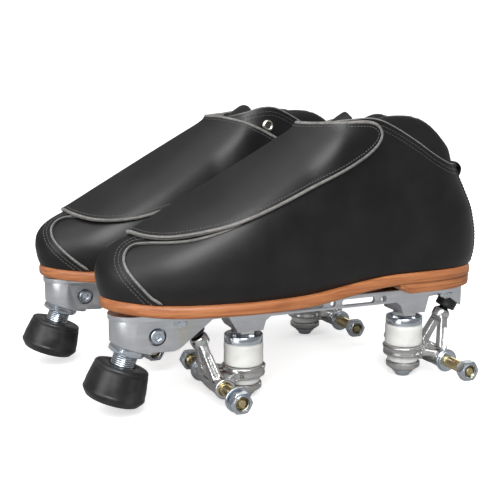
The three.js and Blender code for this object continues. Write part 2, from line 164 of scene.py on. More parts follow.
class Tree:
    """One material's node tree."""

    def __init__(self, name: str) -> None:
        """Makes an empty material with its output and shader."""
        self.material = bpy.data.materials.new(name)
        self.material.use_nodes = True
        self.nodes = self.material.node_tree.nodes
        self.links = self.material.node_tree.links
        self.nodes.clear()
        output = self.nodes.new("ShaderNodeOutputMaterial")
        self.shader = self.nodes.new("ShaderNodeBsdfPrincipled")
        self.links.new(self.shader.outputs[0], output.inputs[0])
        self.place = self.add("ShaderNodeTexCoord", {}, {}, "Object")

    def _plug(self, socket: bpy.types.NodeSocket, value: object) -> None:
        """Links a wire or sets a plain value."""
        if isinstance(value, Wire):
            self.links.new(value.socket, socket)
        else:
            socket.default_value = value

    def add(self, kind: str, settings: dict, values: dict, out: object = 0) -> Wire:
        """Adds one node.

        Args:
            kind: the node's type name.
            settings: properties set first; "stops" fills a colour ramp.
            values: numbers, colours or wires by socket name or number.
            out: name or number of the socket handed back.

        Returns:
            The chosen output.
        """
        node = self.nodes.new(kind)
        for key, value in settings.items():
            if key == "stops":
                ramp = node.color_ramp.elements
                while len(ramp) < len(value):
                    ramp.new(0.5)
                for element, (at, color) in zip(ramp, value):
                    element.position, element.color = at, color
            else:
                setattr(node, key, value)
        for key, value in values.items():
            self._plug(node.inputs[key], value)
        return Wire(self, node.outputs[out])

    def mix(self, factor: object, a: object, b: object) -> Wire:
        """Mixes two colours."""
        return self.add("ShaderNodeMix", {"data_type": "RGBA"}, {0: factor, 6: a, 7: b}, 2)

    def noise(self, scale: float, detail: float = 3.0, stretch: Sequence[float] = (1, 1, 1),
              rough: float = 0.5) -> Wire:
        """Noise in the piece's own place, stretched along each axis."""
        at = self.add("ShaderNodeMapping", {}, {"Vector": self.place, "Scale": tuple(stretch)})
        return self.add("ShaderNodeTexNoise", {}, {"Vector": at, "Scale": scale, "Detail": detail,
                                                   "Roughness": rough})

    def cells(self, scale: float, feature: str = "F1", stretch: Sequence[float] = (1, 1, 1)) -> Wire:
        """Cell pattern: distance to the nearest seed or edge."""
        at = self.add("ShaderNodeMapping", {}, {"Vector": self.place, "Scale": tuple(stretch)})
        return self.add("ShaderNodeTexVoronoi", {"feature": feature}, {"Vector": at, "Scale": scale},
                        "Distance")

    def bump(self, height: Wire, strength: float, depth: float) -> Wire:
        """Normal from a height in the range 0 to 1; depth in millimetres."""
        return self.add("ShaderNodeBump", {}, {"Height": height, "Strength": strength,
                                               "Distance": depth * MM}, "Normal")

    def surface(self, **sockets: object) -> bpy.types.Material:
        """Fills the shader's sockets; underscores stand for spaces. Returns the material."""
        for key, value in sockets.items():
            self._plug(self.shader.inputs[key.replace("_", " ")], value)
        return self.material


def shade(red: float, green: float, blue: float) -> tuple[float, float, float, float]:
    """A linear colour with full alpha."""
    return (red, green, blue, 1.0)


# ---- finishes --------------------------------------------------------------------------------
@dataclass(frozen=True)
class Hide:
    """Smooth black upper leather with a fine grain and a broad soft sheen."""

    name: str = "upper_hide"
    dark: tuple = shade(0.0045, 0.0045, 0.005)
    pale: tuple = shade(0.011, 0.0105, 0.0115)
    rough: float = 0.36
    grain: float = 0.09
    coat: float = 0.05

    def make(self) -> bpy.types.Material:
        """Builds the material."""
        t = Tree(self.name)
        cloud = t.noise(28, 4, rough=0.6)
        pores = t.cells(1150)
        creases = t.noise(210, 5, (1, 0.55, 1), 0.65)
        scuff = t.noise(95, 6, (0.35, 1, 1), 0.7).above(0.62, 0.8)
        color = t.mix(cloud.above(0.35, 0.75), self.dark, self.pale)
        color = t.mix(scuff * 0.2, color, shade(0.03, 0.029, 0.028))
        height = pores.above(0.0, 0.55) * 0.6 + creases * 0.9
        return t.surface(Base_Color=color, Roughness=cloud * 0.12 + (self.rough - 0.06) + scuff * 0.12,
                         Coat_Weight=self.coat, Coat_Roughness=0.3, Specular_IOR_Level=0.42,
                         Normal=t.bump(height, self.grain, 0.35))


@dataclass(frozen=True)
class RawEdge:
    """Grey cut edge of the leather, fibrous and matt."""

    name: str = "raw_edge"
    dark: tuple = shade(0.10, 0.098, 0.094)
    pale: tuple = shade(0.27, 0.262, 0.25)

    def make(self) -> bpy.types.Material:
        """Builds the material."""
        t = Tree(self.name)
        fibre = t.noise(700, 5, (1, 0.3, 1), 0.7)
        patch = t.noise(60, 3)
        color = t.mix((fibre * 0.75 + patch * 0.35).above(0.3, 0.75), self.dark, self.pale)
        return t.surface(Base_Color=color, Roughness=fibre * 0.2 + 0.55, Normal=t.bump(fibre, 0.35, 0.3))


@dataclass(frozen=True)
class Lining:
    """Matt dark lining cloth inside the boot and on the collar."""

    name: str = "lining_cloth"
    dark: tuple = shade(0.010, 0.010, 0.011)
    pale: tuple = shade(0.028, 0.028, 0.030)
    weave: float = 1500.0
    sheen: float = 0.25

    def make(self) -> bpy.types.Material:
        """Builds the material."""
        t = Tree(self.name)
        knit = t.cells(self.weave, "F1", (1, 1, 0.7))
        cloud = t.noise(60, 4)
        color = t.mix(knit.above(0.1, 0.7), self.pale, self.dark)
        color = t.mix(cloud * 0.5, color, self.pale)
        return t.surface(Base_Color=color, Roughness=cloud * 0.15 + 0.68, Sheen_Weight=self.sheen,
                         Sheen_Roughness=0.5, Normal=t.bump(knit, 0.4, 0.25))


@dataclass(frozen=True)
class Thread:
    """Twisted sewing thread."""

    name: str = "sewing_thread"
    dark: tuple = shade(0.05, 0.05, 0.05)
    pale: tuple = shade(0.15, 0.147, 0.143)

    def make(self) -> bpy.types.Material:
        """Builds the material."""
        t = Tree(self.name)
        twist = t.noise(2600, 2, (1, 1, 1))
        color = t.mix(twist.above(0.35, 0.65), self.dark, self.pale)
        return t.surface(Base_Color=color, Roughness=twist * 0.15 + 0.5, Sheen_Weight=0.2,
                         Normal=t.bump(twist, 0.4, 0.15))


@dataclass(frozen=True)
class SoleHide:
    """Tan stacked sole leather, streaked along its length, with darker blotches and pores."""

    name: str = "sole_hide"
    tan: tuple = shade(0.34, 0.108, 0.034)
    pale: tuple = shade(0.50, 0.19, 0.07)
    brown: tuple = shade(0.17, 0.05, 0.018)
    layer: float = 0.0

    def make(self) -> bpy.types.Material:
        """Builds the material."""
        t = Tree(self.name)
        streak = t.noise(420, 6, (0.25, 0.05, 1.3), 0.62)
        blotch = t.noise(34, 4, (1, 0.5, 1))
        pore = t.cells(800, "F1", (1, 0.5, 1))
        color = t.mix(streak.above(0.34, 0.66), self.tan, self.pale)
        color = t.mix(blotch.above(0.52, 0.75) * 0.45, color, self.brown)
        color = t.mix(pore.above(0.0, 0.25) * -0.35 + 0.35, color, self.brown)
        return t.surface(Base_Color=color, Roughness=streak * 0.2 + 0.34, Coat_Weight=0.18,
                         Coat_Roughness=0.28, Normal=t.bump(streak + pore * 0.3, 0.22, 0.35))


@dataclass(frozen=True)
class Metal:
    """A plated, cast or machined metal: tint, polish and the scale of its marks."""

    name: str
    tint: tuple
    shadow: tuple
    rough: float = 0.28
    marks: float = 0.1
    grain: float = 500.0
    stretch: tuple = (1, 1, 1)
    bump: float = 0.08
    coat: float = 0.0

    def make(self) -> bpy.types.Material:
        """Builds the material."""
        t = Tree(self.name)
        fine = t.noise(self.grain, 4, self.stretch, 0.6)
        cloud = t.noise(75, 4)
        pits = t.cells(self.grain * 1.7)
        color = t.mix((cloud * 0.6 + fine * 0.5).above(0.35, 0.8), self.shadow, self.tint)
        rough = fine * self.marks + cloud * self.marks + (self.rough - self.marks)
        height = fine * 0.8 + pits.above(0.0, 0.3) * 0.35
        return t.surface(Base_Color=color, Metallic=1.0, Roughness=rough, Coat_Weight=self.coat,
                         Coat_Roughness=0.15, Normal=t.bump(height, self.bump, 0.25))


@dataclass(frozen=True)
class Urethane:
    """Off-white, slightly milky cushion compound."""

    name: str = "white_urethane"
    pale: tuple = shade(0.86, 0.865, 0.84)
    dull: tuple = shade(0.70, 0.705, 0.67)

    def make(self) -> bpy.types.Material:
        """Builds the material."""
        t = Tree(self.name)
        cloud = t.noise(120, 4)
        fine = t.noise(900, 3)
        color = t.mix(cloud.above(0.45, 0.8) * 0.7, self.pale, self.dull)
        return t.surface(Base_Color=color, Roughness=cloud * 0.15 + 0.3, Subsurface_Weight=0.25,
                         Subsurface_Radius=(0.004, 0.004, 0.003), Subsurface_Scale=0.6,
                         Normal=t.bump(fine, 0.06, 0.2))


@dataclass(frozen=True)
class Rubber:
    """Black rubber, semi-gloss with faint moulding marks."""

    name: str = "black_rubber"
    dark: tuple = shade(0.012, 0.012, 0.013)
    pale: tuple = shade(0.035, 0.035, 0.037)
    rough: float = 0.36

    def make(self) -> bpy.types.Material:
        """Builds the material."""
        t = Tree(self.name)
        cloud = t.noise(90, 4)
        fine = t.noise(1100, 3)
        dust = t.noise(260, 6, rough=0.7).above(0.58, 0.78)
        color = t.mix(cloud.above(0.4, 0.8), self.dark, self.pale)
        color = t.mix(dust * 0.3, color, shade(0.12, 0.118, 0.115))
        return t.surface(Base_Color=color, Roughness=cloud * 0.12 + self.rough + dust * 0.15,
                         Normal=t.bump(fine, 0.12, 0.25))


@dataclass(frozen=True)
class HookTape:
    """Black hook-and-loop tape."""

    name: str = "hook_tape"

    def make(self) -> bpy.types.Material:
        """Builds the material."""
        t = Tree(self.name)
        tufts = t.cells(900)
        color = t.mix(tufts.above(0.1, 0.6), shade(0.05, 0.05, 0.052), shade(0.012, 0.012, 0.013))
        return t.surface(Base_Color=color, Roughness=tufts * 0.2 + 0.7, Sheen_Weight=0.4,
                         Normal=t.bump(tufts, 0.8, 0.5))


@dataclass(frozen=True)
class Paper:
    """The pale floor: bright to the camera and quieter in reflections."""

    name: str = "studio_floor"
    glow: float = 0.55
    bounce: float = 0.34

    def make(self) -> bpy.types.Material:
        """Builds the material."""
        t = Tree(self.name)
        cloud = t.noise(2, 2)
        color = t.mix(cloud, shade(0.90, 0.90, 0.90), shade(0.94, 0.94, 0.94))
        t.surface(Base_Color=color, Roughness=cloud * 0.1 + 0.75, Specular_IOR_Level=0.1,
                  Emission_Color=shade(1, 1, 1), Emission_Strength=self.glow)
        quiet = t.nodes.new("ShaderNodeBsdfPrincipled")
        quiet.inputs["Base Color"].default_value = shade(self.bounce, self.bounce, self.bounce)
        quiet.inputs["Roughness"].default_value = 0.8
        seen = t.add("ShaderNodeLightPath", {}, {}, "Is Camera Ray")
        blend = t.add("ShaderNodeMixShader", {}, {0: seen, 1: Wire(t, quiet.outputs[0]),
                                                  2: Wire(t, t.shader.outputs[0])})
        output = next(node for node in t.nodes if node.type == "OUTPUT_MATERIAL")
        t.links.new(blend.socket, output.inputs[0])
        return t.material


class Rack:
    """Every finish, made once on first use."""

    FINISHES = {
        "hide": Hide(),
        "strap": Hide(name="flap_hide", dark=shade(0.005, 0.005, 0.0055), rough=0.4, grain=0.11),
        "collar": Hide(name="collar_hide", dark=shade(0.004, 0.004, 0.0045), pale=shade(0.009, 0.009, 0.0095),
                       rough=0.46, grain=0.2, coat=0.0),
        "edge": RawEdge(),
        "lining": Lining(),
        "thread": Thread(),
        "seam": Thread(name="dark_thread", dark=shade(0.012, 0.012, 0.012), pale=shade(0.06, 0.06, 0.06)),
        "lace": Lining(name="lace_braid", dark=shade(0.012, 0.012, 0.012), pale=shade(0.05, 0.05, 0.05),
                       weave=1900.0),
        "sole": SoleHide(),
        "heel": SoleHide(name="heel_hide", tan=shade(0.33, 0.11, 0.036), pale=shade(0.48, 0.19, 0.072)),
        "insole": SoleHide(name="insole_hide", tan=shade(0.20, 0.14, 0.09), pale=shade(0.27, 0.2, 0.14),
                           brown=shade(0.10, 0.07, 0.05)),
        "plate": Metal("plate_satin", shade(0.84, 0.86, 0.89), shade(0.70, 0.72, 0.755), 0.31, 0.08, 420,
                       (0.4, 0.08, 1.0), 0.03),
        "cast": Metal("hanger_cast", shade(0.84, 0.84, 0.835), shade(0.68, 0.68, 0.68), 0.2, 0.1, 260,
                      (1, 1, 1), 0.16),
        "zinc": Metal("bright_zinc", shade(0.74, 0.79, 0.85), shade(0.58, 0.64, 0.70), 0.2, 0.08, 600,
                      (1, 1, 1), 0.06, 0.15),
        "bright": Metal("polished_nut", shade(0.88, 0.89, 0.90), shade(0.74, 0.76, 0.78), 0.12, 0.05, 500,
                        (1, 1, 1), 0.04),
        "gold": Metal("golden_zinc", shade(0.80, 0.68, 0.40), shade(0.62, 0.50, 0.27), 0.26, 0.1, 600,
                      (1, 1, 1), 0.06, 0.1),
        "brass": Metal("eyelet_metal", shade(0.80, 0.77, 0.70), shade(0.58, 0.55, 0.49), 0.2, 0.08, 800,
                       (1, 1, 1), 0.05),
        "white": Urethane(),
        "rubber": Rubber(),
        "stop": Rubber(name="stop_rubber", dark=shade(0.010, 0.010, 0.011), rough=0.27),
        "tape": HookTape(),
        "floor": Paper(),
    }
    made: dict[str, bpy.types.Material] = {}

    @classmethod
    def get(cls, key: str) -> bpy.types.Material:
        """The material of one finish."""
        if key not in cls.made:
            cls.made[key] = cls.FINISHES[key].make()
        return cls.made[key]


# ---- modelling helpers -----------------------------------------------------------------------
def only(obj: Obj) -> None:
    """Makes obj the one selected and active object."""
    bpy.ops.object.select_all(action="DESELECT")
    obj.select_set(True)
    bpy.context.view_layer.objects.active = obj


def object_from(name: str, verts: Iterable, faces: Iterable, finish: str | None = None) -> Obj:
    """Makes a mesh object from points in millimetres.

    Args:
        name: name of the object.
        verts: points in millimetres.
        faces: corner numbers of each face.
        finish: key of its finish, if it has one.

    Returns:
        The new object, at the origin.
    """
    mesh = bpy.data.meshes.new(name)
    mesh.from_pydata([tuple(float(c) * MM for c in v) for v in verts], [],
                     [tuple(map(int, f)) for f in faces])
    mesh.update()
    obj = bpy.data.objects.new(name, mesh)
    bpy.context.scene.collection.objects.link(obj)
    if finish:
        mesh.materials.append(Rack.get(finish))
    return obj


def modify(obj: Obj, kind: str, **settings: object) -> None:
    """Adds a modifier with the given settings and applies it."""
    only(obj)
    bpy.ops.object.modifier_add(type=kind)
    modifier = obj.modifiers[-1]
    for key, value in settings.items():
        setattr(modifier, key, value)
    bpy.ops.object.modifier_apply(modifier=modifier.name)


def boolean(obj: Obj, how: Join, *tools: Obj) -> Obj:
    """Joins tools to obj one after another and deletes them."""
    for tool in tools:
        modify(obj, "BOOLEAN", operation=how.value, object=tool, solver="EXACT", material_mode="TRANSFER")
        bpy.data.objects.remove(tool)
    return obj


def edit(obj: Obj, *steps: Callable[[], object]) -> None:
    """Runs operators on all of obj's mesh in edit mode."""
    only(obj)
    bpy.ops.object.mode_set(mode="EDIT")
    bpy.ops.mesh.select_all(action="SELECT")
    for step in steps:
        step()
    bpy.ops.object.mode_set(mode="OBJECT")


def tidy_mesh(obj: Obj, merge: float = 0.01, angle: float = 35.0) -> Obj:
    """Merges doubles within merge millimetres, turns faces outward and sets smooth shading by angle."""
    edit(obj, lambda: bpy.ops.mesh.remove_doubles(threshold=merge * MM),
         lambda: bpy.ops.mesh.normals_make_consistent(inside=False))
    only(obj)
    bpy.ops.object.shade_smooth_by_angle(angle=math.radians(angle))
    return obj


def softened(obj: Obj, width: float, angle: float = 32.0, segments: int = 2) -> Obj:
    """Rounds every edge sharper than angle by width millimetres."""
    modify(obj, "BEVEL", width=width * MM, segments=segments, limit_method="ANGLE",
           angle_limit=math.radians(angle), use_clamp_overlap=True, miter_outer="MITER_ARC")
    return tidy_mesh(obj, 0.004, 40.0)


def settle(obj: Obj, matrix: Matrix) -> Obj:
    """Moves obj by matrix and applies the move to its mesh, so that obj stays at the origin."""
    obj.matrix_world = matrix
    only(obj)
    bpy.ops.object.transform_apply(location=True, rotation=True, scale=True)
    return obj


def merged(name: str, parts: Sequence[Obj]) -> Obj:
    """Joins several objects into one without a boolean."""
    bpy.ops.object.select_all(action="DESELECT")
    for part in parts:
        part.select_set(True)
    bpy.context.view_layer.objects.active = parts[0]
    if len(parts) > 1:
        bpy.ops.object.join()
    parts[0].name = name
    return parts[0]


def turned(name: str, rows: Rows, finish: str, sides: int = 48) -> Obj:
    """A turned piece: a circle extruded and resized row by row up the Z axis.

    Args:
        name: name of the object.
        rows: radius and height of each step, in millimetres; a first or last radius of 0 closes the end,
            and otherwise the last row is joined to the first, which leaves a bore.
        finish: key of its finish.
        sides: corners of the circle.

    Returns:
        The piece, standing on the origin's axis.
    """
    only_rows = list(rows)
    solid = only_rows[0][0] == 0
    if solid:
        only_rows = only_rows[1:]
    tip = only_rows[-1][0] == 0
    if tip:
        only_rows = only_rows[:-1]
    radius, height = only_rows[0]
    bpy.ops.object.select_all(action="DESELECT")
    bpy.ops.mesh.primitive_circle_add(vertices=sides, radius=radius * MM, location=(0, 0, height * MM),
                                      fill_type="NGON" if solid else "NOTHING")
    obj = bpy.context.active_object
    obj.name = name
    settle(obj, obj.matrix_world.copy())
    bpy.ops.object.mode_set(mode="EDIT")
    bpy.ops.mesh.select_all(action="SELECT")
    for to_radius, to_height in only_rows[1:] + ([] if solid or tip else [only_rows[0]]):
        bpy.ops.mesh.extrude_edges_move(TRANSFORM_OT_translate={"value": (0, 0, (to_height - height) * MM)})
        ratio = to_radius / radius
        bpy.ops.transform.resize(value=(ratio, ratio, 1), center_override=(0, 0, to_height * MM))
        radius, height = to_radius, to_height
    if solid or tip:
        bpy.ops.mesh.edge_face_add()
    bpy.ops.object.mode_set(mode="OBJECT")
    obj.data.materials.append(Rack.get(finish))
    return tidy_mesh(obj, 0.002, 38.0)


def prism(name: str, outline: Rows, axis: Axis, low: float, high: float, finish: str | None = None) -> Obj:
    """An outline pushed out along an axis.

    Args:
        name: name of the object.
        outline: corners as (y, z) for the X axis or (x, y) for the Z axis.
        axis: direction of the push.
        low: where it starts, in millimetres.
        high: where it ends.
        finish: key of its finish.

    Returns:
        A closed solid.
    """
    def corner(pair: tuple[float, float], at: float) -> tuple[float, float, float]:
        """Sets one corner into space."""
        return (at, pair[0], pair[1]) if axis is Axis.X else (pair[0], pair[1], at)

    count = len(outline)
    verts = [corner(p, low) for p in outline]
    obj = object_from(name, verts, [range(count)], finish)
    push = Vector((high - low, 0, 0) if axis is Axis.X else (0, 0, high - low)) * MM
    edit(obj, lambda: bpy.ops.mesh.extrude_region_move(TRANSFORM_OT_translate={"value": push}),
         lambda: bpy.ops.mesh.select_all(action="SELECT"),
         lambda: bpy.ops.mesh.normals_make_consistent(inside=False))
    return obj


def cylinder(name: str, radius: float, start: Sequence[float], end: Sequence[float], sides: int = 32,
             finish: str | None = None) -> Obj:
    """A round bar between two points in millimetres."""
    a, b = Vector(start) * MM, Vector(end) * MM
    turn = (b - a).to_track_quat("Z", "Y").to_euler()
    bpy.ops.object.select_all(action="DESELECT")
    bpy.ops.mesh.primitive_cylinder_add(vertices=sides, radius=radius * MM, depth=(b - a).length,
                                        location=(a + b) / 2, rotation=turn)
    obj = bpy.context.active_object
    obj.name = name
    if finish:
        obj.data.materials.append(Rack.get(finish))
    return settle(obj, obj.matrix_world.copy())


def block(name: str, low: Sequence[float], high: Sequence[float], finish: str | None = None) -> Obj:
    """A square block between two corners in millimetres."""
    a, b = Vector(low) * MM, Vector(high) * MM
    bpy.ops.object.select_all(action="DESELECT")
    bpy.ops.mesh.primitive_cube_add(size=1, location=(a + b) / 2, scale=b - a)
    obj = bpy.context.active_object
    obj.name = name
    if finish:
        obj.data.materials.append(Rack.get(finish))
    return settle(obj, obj.matrix_world.copy())


def hexagon(across: float, turn: float = 0.0) -> list[tuple[float, float]]:
    """Corners of a hexagon given its width across the flats."""
    radius = across / 2 / math.cos(math.pi / 6)
    return [(radius * math.cos(turn + i * math.pi / 3),
             radius * math.sin(turn + i * math.pi / 3)) for i in range(6)]


def nut(name: str, across: float, low: float, high: float, bore: float, finish: str) -> Obj:
    """A hexagon nut with both ends chamfered, on the Z axis."""
    body = prism(name, hexagon(across, math.pi / 6), Axis.Z, low, high, finish)
    far = across / 2 / math.cos(math.pi / 6)
    ease_in = (far - across / 2) * 0.9
    barrel = turned("barrel", [(0, low), (far - ease_in * 1.25, low), (far + 0.05, low + ease_in * 0.8),
                               (far + 0.05, high - ease_in * 0.8), (far - ease_in * 1.25, high), (0, high)],
                    finish, 64)
    boolean(body, Join.KEEP, barrel)
    if bore:
        boolean(body, Join.CUT,
                turned("bore", [(0, low - 1), (bore + 0.7, low - 1), (bore + 0.7, low), (bore, low + 0.7),
                                                (bore, high - 0.7), (bore + 0.7, high),
                                                (bore + 0.7, high + 1),
                                                (0, high + 1)], finish, 40))
    return softened(body, 0.18, 28, 1)


def thread_rod(name: str, radius: float, low: float, high: float, pitch: float, depth: float, finish: str,
               sides: int = 32) -> Obj:
    """A rod on the Z axis with a helical thread along its whole length, and chamfered ends."""
    per = 6
    rows = int((high - low) / pitch * per)
    verts = []
    for k in range(rows + 1):
        z = low + (high - low) * k / rows
        for i in range(sides):
            a = 2 * math.pi * i / sides
            phase = ((z - low) / pitch - i / sides) % 1.0
            groove = depth * (1 - abs(2 * phase - 1)) ** 0.8
            lead = 0.9 * max(0.0, 1 - (z - low) / 1.0) + 0.9 * max(0.0, 1 - (high - z) / 1.0)
            r = radius - max(groove, 0) - lead * 0.6
            verts.append((r * math.cos(a), r * math.sin(a), z))
    faces = [(k * sides + i, k * sides + (i + 1) % sides, (k + 1) * sides + (i + 1) % sides,
              (k + 1) * sides + i)
             for k in range(rows) for i in range(sides)]
    faces += [range(sides), range(rows * sides, (rows + 1) * sides)]
    return tidy_mesh(object_from(name, verts, faces, finish), 0.001, 50)


def washer(name: str, outer: float, bore: float, low: float, high: float, finish: str) -> Obj:
    """A flat washer on the Z axis with eased rims."""
    e = min(0.3, (high - low) / 4)
    return turned(name, [(bore, low), (outer - e, low), (outer, low + e), (outer, high - e),
                         (outer - e, high),
                         (bore, high)], finish, 48)


def along_x(obj: Obj, y: float = 0.0, z: float = 0.0) -> Obj:
    """Lays a piece made on the Z axis down along +X."""
    return settle(obj, Matrix.Translation(Vector((0, y, z)) * MM) @ Matrix.Rotation(math.pi / 2, 4, "Y"))


# ---- curves and sewn strips ------------------------------------------------------------------
def ease(value: np.ndarray | float) -> np.ndarray | float:
    """Smooth step from 0 to 1."""
    v = np.clip(value, 0, 1)
    return v * v * (3 - 2 * v)


class Table:
    """Values read between rows, with the corners rounded off."""

    def __init__(self, rows: Rows, blur: float) -> None:
        """Samples the rows finely and blurs them by blur units of the key."""
        step = blur / 4
        keys = np.array([r[0] for r in rows], float)
        values = np.array([r[1] for r in rows], float)
        reach = blur * 4
        self.keys = np.arange(keys[0] - reach, keys[-1] + reach + step, step)
        raw = np.interp(self.keys, keys, values)
        low, high = self.keys < keys[0], self.keys > keys[-1]
        raw[low] = values[0] + (self.keys[low] - keys[0]) * (values[1] - values[0]) / (keys[1] - keys[0])
        raw[high] = (values[-1]
                     + (self.keys[high] - keys[-1]) * (values[-1] - values[-2]) / (keys[-1] - keys[-2]))
        window = np.exp(-0.5 * (np.arange(-12, 13) * step / blur) ** 2)
        padded = np.concatenate([raw[0] - (raw[12:0:-1] - raw[0]), raw, raw[-1] - (raw[-2:-14:-1] - raw[-1])])
        self.values = np.convolve(padded, window / window.sum(), "valid")

    def __call__(self, key: np.ndarray | float) -> np.ndarray | float:
        """Value at a key."""
        return np.interp(key, self.keys, self.values)


def flow(points: Sequence[Sequence[float]], per: int = 10, closed: bool = False) -> np.ndarray:
    """A smooth line through points: centripetal spline with per samples between each two."""
    p = np.array(points, float)
    count = len(p)
    ends = (lambda i: p[i % count]) if closed else (
        lambda i: p[i] if 0 <= i < count else (2 * p[0] - p[1] if i < 0 else 2 * p[-1] - p[-2]))
    out = []
    for i in range(count if closed else count - 1):
        a, b, c, d = ends(i - 1), ends(i), ends(i + 1), ends(i + 2)
        t1 = max(np.linalg.norm(b - a), 1e-9) ** 0.5
        t2 = t1 + max(np.linalg.norm(c - b), 1e-9) ** 0.5
        t3 = t2 + max(np.linalg.norm(d - c), 1e-9) ** 0.5
        for s in np.linspace(t1, t2, per, endpoint=False):
            a1 = a * (t1 - s) / t1 + b * s / t1
            a2 = b * (t2 - s) / (t2 - t1) + c * (s - t1) / (t2 - t1)
            a3 = c * (t3 - s) / (t3 - t2) + d * (s - t2) / (t3 - t2)
            b1 = a1 * (t2 - s) / t2 + a2 * s / t2
            b2 = a2 * (t3 - s) / (t3 - t1) + a3 * (s - t1) / (t3 - t1)
            out.append(b1 * (t2 - s) / (t2 - t1) + b2 * (s - t1) / (t2 - t1))
    if not closed:
        out.append(p[-1])
    return np.array(out)


def spaced(points: np.ndarray, step: float, closed: bool = False) -> np.ndarray:
    """The same line with its points an equal step apart."""
    line = np.vstack([points, points[:1]]) if closed else points
    run = np.concatenate([[0], np.cumsum(np.linalg.norm(np.diff(line, axis=0), axis=1))])
    count = max(3, int(round(run[-1] / step)))
    at = np.linspace(0, run[-1], count + 1)
    at = at[:-1] if closed else at
    return np.column_stack([np.interp(at, run, line[:, k]) for k in range(line.shape[1])])


def directions(points: np.ndarray, closed: bool) -> np.ndarray:
    """Unit direction of travel at each point of a line."""
    if closed:
        d = np.roll(points, -1, 0) - np.roll(points, 1, 0)
    else:
        d = np.gradient(points, axis=0)
    return d / np.maximum(np.linalg.norm(d, axis=1, keepdims=True), 1e-9)


def sweep(name: str, points: np.ndarray, ups: np.ndarray, section: Rows, finish: str,
          closed: bool = False, taper: float = 0.0) -> Obj:
    """A strip with a fixed cross-section swept along a line.

    Args:
        name: name of the object.
        points: the line, in millimetres.
        ups: the outward direction at each point.
        section: cross-section as (sideways, outward) pairs, in millimetres.
        finish: key of its finish.
        closed: joins the end to the start.
        taper: share of the ends over which the strip narrows to a point.

    Returns:
        A closed strip.
    """
    t = directions(points, closed)
    side = np.cross(ups, t)
    side /= np.maximum(np.linalg.norm(side, axis=1, keepdims=True), 1e-9)
    up = np.cross(t, side)
    s = np.array(section, float)
    count, around = len(points), len(s)
    scale = np.ones(count)
    if taper and not closed:
        u = np.linspace(0, 1, count)
        scale = np.clip(np.minimum(u, 1 - u) / taper, 0.02, 1) ** 0.5
    rings = points[:, None] + side[:, None] * (s[None, :, :1] * scale[:, None, None]) \
        + up[:, None] * (s[None, :, 1:] * scale[:, None, None])
    faces = []
    for k in range(count if closed else count - 1):
        n = (k + 1) % count
        for i in range(around):
            j = (i + 1) % around
            faces.append((k * around + i, k * around + j, n * around + j, n * around + i))
    if not closed:
        faces += [range(around), range((count - 1) * around, count * around)]
    return tidy_mesh(object_from(name, rings.reshape(-1, 3), faces, finish), 0.0005, 60)


def oval(half_width: float, half_height: float, sides: int = 10,
         power: float = 1.0) -> list[tuple[float, float]]:
    """An oval cross-section."""
    out = []
    for i in range(sides):
        a = 2 * math.pi * (i + 0.5) / sides
        c, s = math.cos(a), math.sin(a)
        out.append((half_width * math.copysign(abs(c) ** power, c),
                    half_height * math.copysign(abs(s) ** power, s)))
    return out


def stitch_row(name: str, points: np.ndarray, ups: np.ndarray, finish: str, spacing: float = 2.9,
               length: float = 2.1, radius: float = 0.36, lift: float = 0.12) -> Obj:
    """A row of single stitches along a line, each a small rounded capsule.

    Args:
        name: name of the object.
        points: the line, in millimetres.
        ups: outward direction at each point.
        finish: key of its finish.
        spacing: distance from stitch to stitch.
        length: length of one stitch.
        radius: its thickness over two.
        lift: how far it stands off the line.

    Returns:
        All stitches as one object.
    """
    both = spaced(np.hstack([points, ups]), spacing)
    at, up = both[:, :3], both[:, 3:]
    t = directions(at, False)
    side = np.cross(up, t)
    side /= np.maximum(np.linalg.norm(side, axis=1, keepdims=True), 1e-9)
    up = np.cross(t, side)
    ring = [(-0.5, 0.35), (-0.36, 0.85), (0.36, 0.85), (0.5, 0.35)]
    verts, faces = [], []
    for p, d, s, u in zip(at, t, side, up):
        base = len(verts)
        middle = p + u * lift
        for along, swell in ring:
            dip = -0.35 * radius if abs(along) == 0.5 else 0.0
            for i in range(6):
                a = math.pi * i / 3
                verts.append(middle + d * along * length + s * math.cos(a) * radius * swell
                             + u * (math.sin(a) * radius * swell + dip))
        for k in range(3):
            for i in range(6):
                j = (i + 1) % 6
                faces.append((base + k * 6 + i, base + k * 6 + j, base + k * 6 + 6 + j, base + k * 6 + 6 + i))
        faces += [tuple(base + i for i in range(5, -1, -1)), tuple(base + 18 + i for i in range(6))]
    return tidy_mesh(object_from(name, verts, faces, finish), 0.0001, 80)


def loft(name: str, rings: np.ndarray, finish: str, angle: float = 60.0) -> Obj:
    """A closed body through rings that start at the nose and run round both sides.

    Args:
        name: name of the object.
        rings: rings by points by 3, in millimetres; point i faces point -i across the body.
        finish: key of its finish.
        angle: edges sharper than this stay sharp.

    Returns:
        The body.
    """
    count, n = rings.shape[:2]
    faces = []
    for k in range(count - 1):
        for i in range(n):
            j = (i + 1) % n
            faces.append((k * n + i, k * n + j, (k + 1) * n + j, (k + 1) * n + i))
    for base in (0, (count - 1) * n):
        for i in range(n // 2):
            corners = [i, i + 1, n - i - 1, (n - i) % n]
            faces.append([base + c for c in dict.fromkeys(corners)])
    return tidy_mesh(object_from(name, rings.reshape(-1, 3), faces, finish), 0.0005, angle)


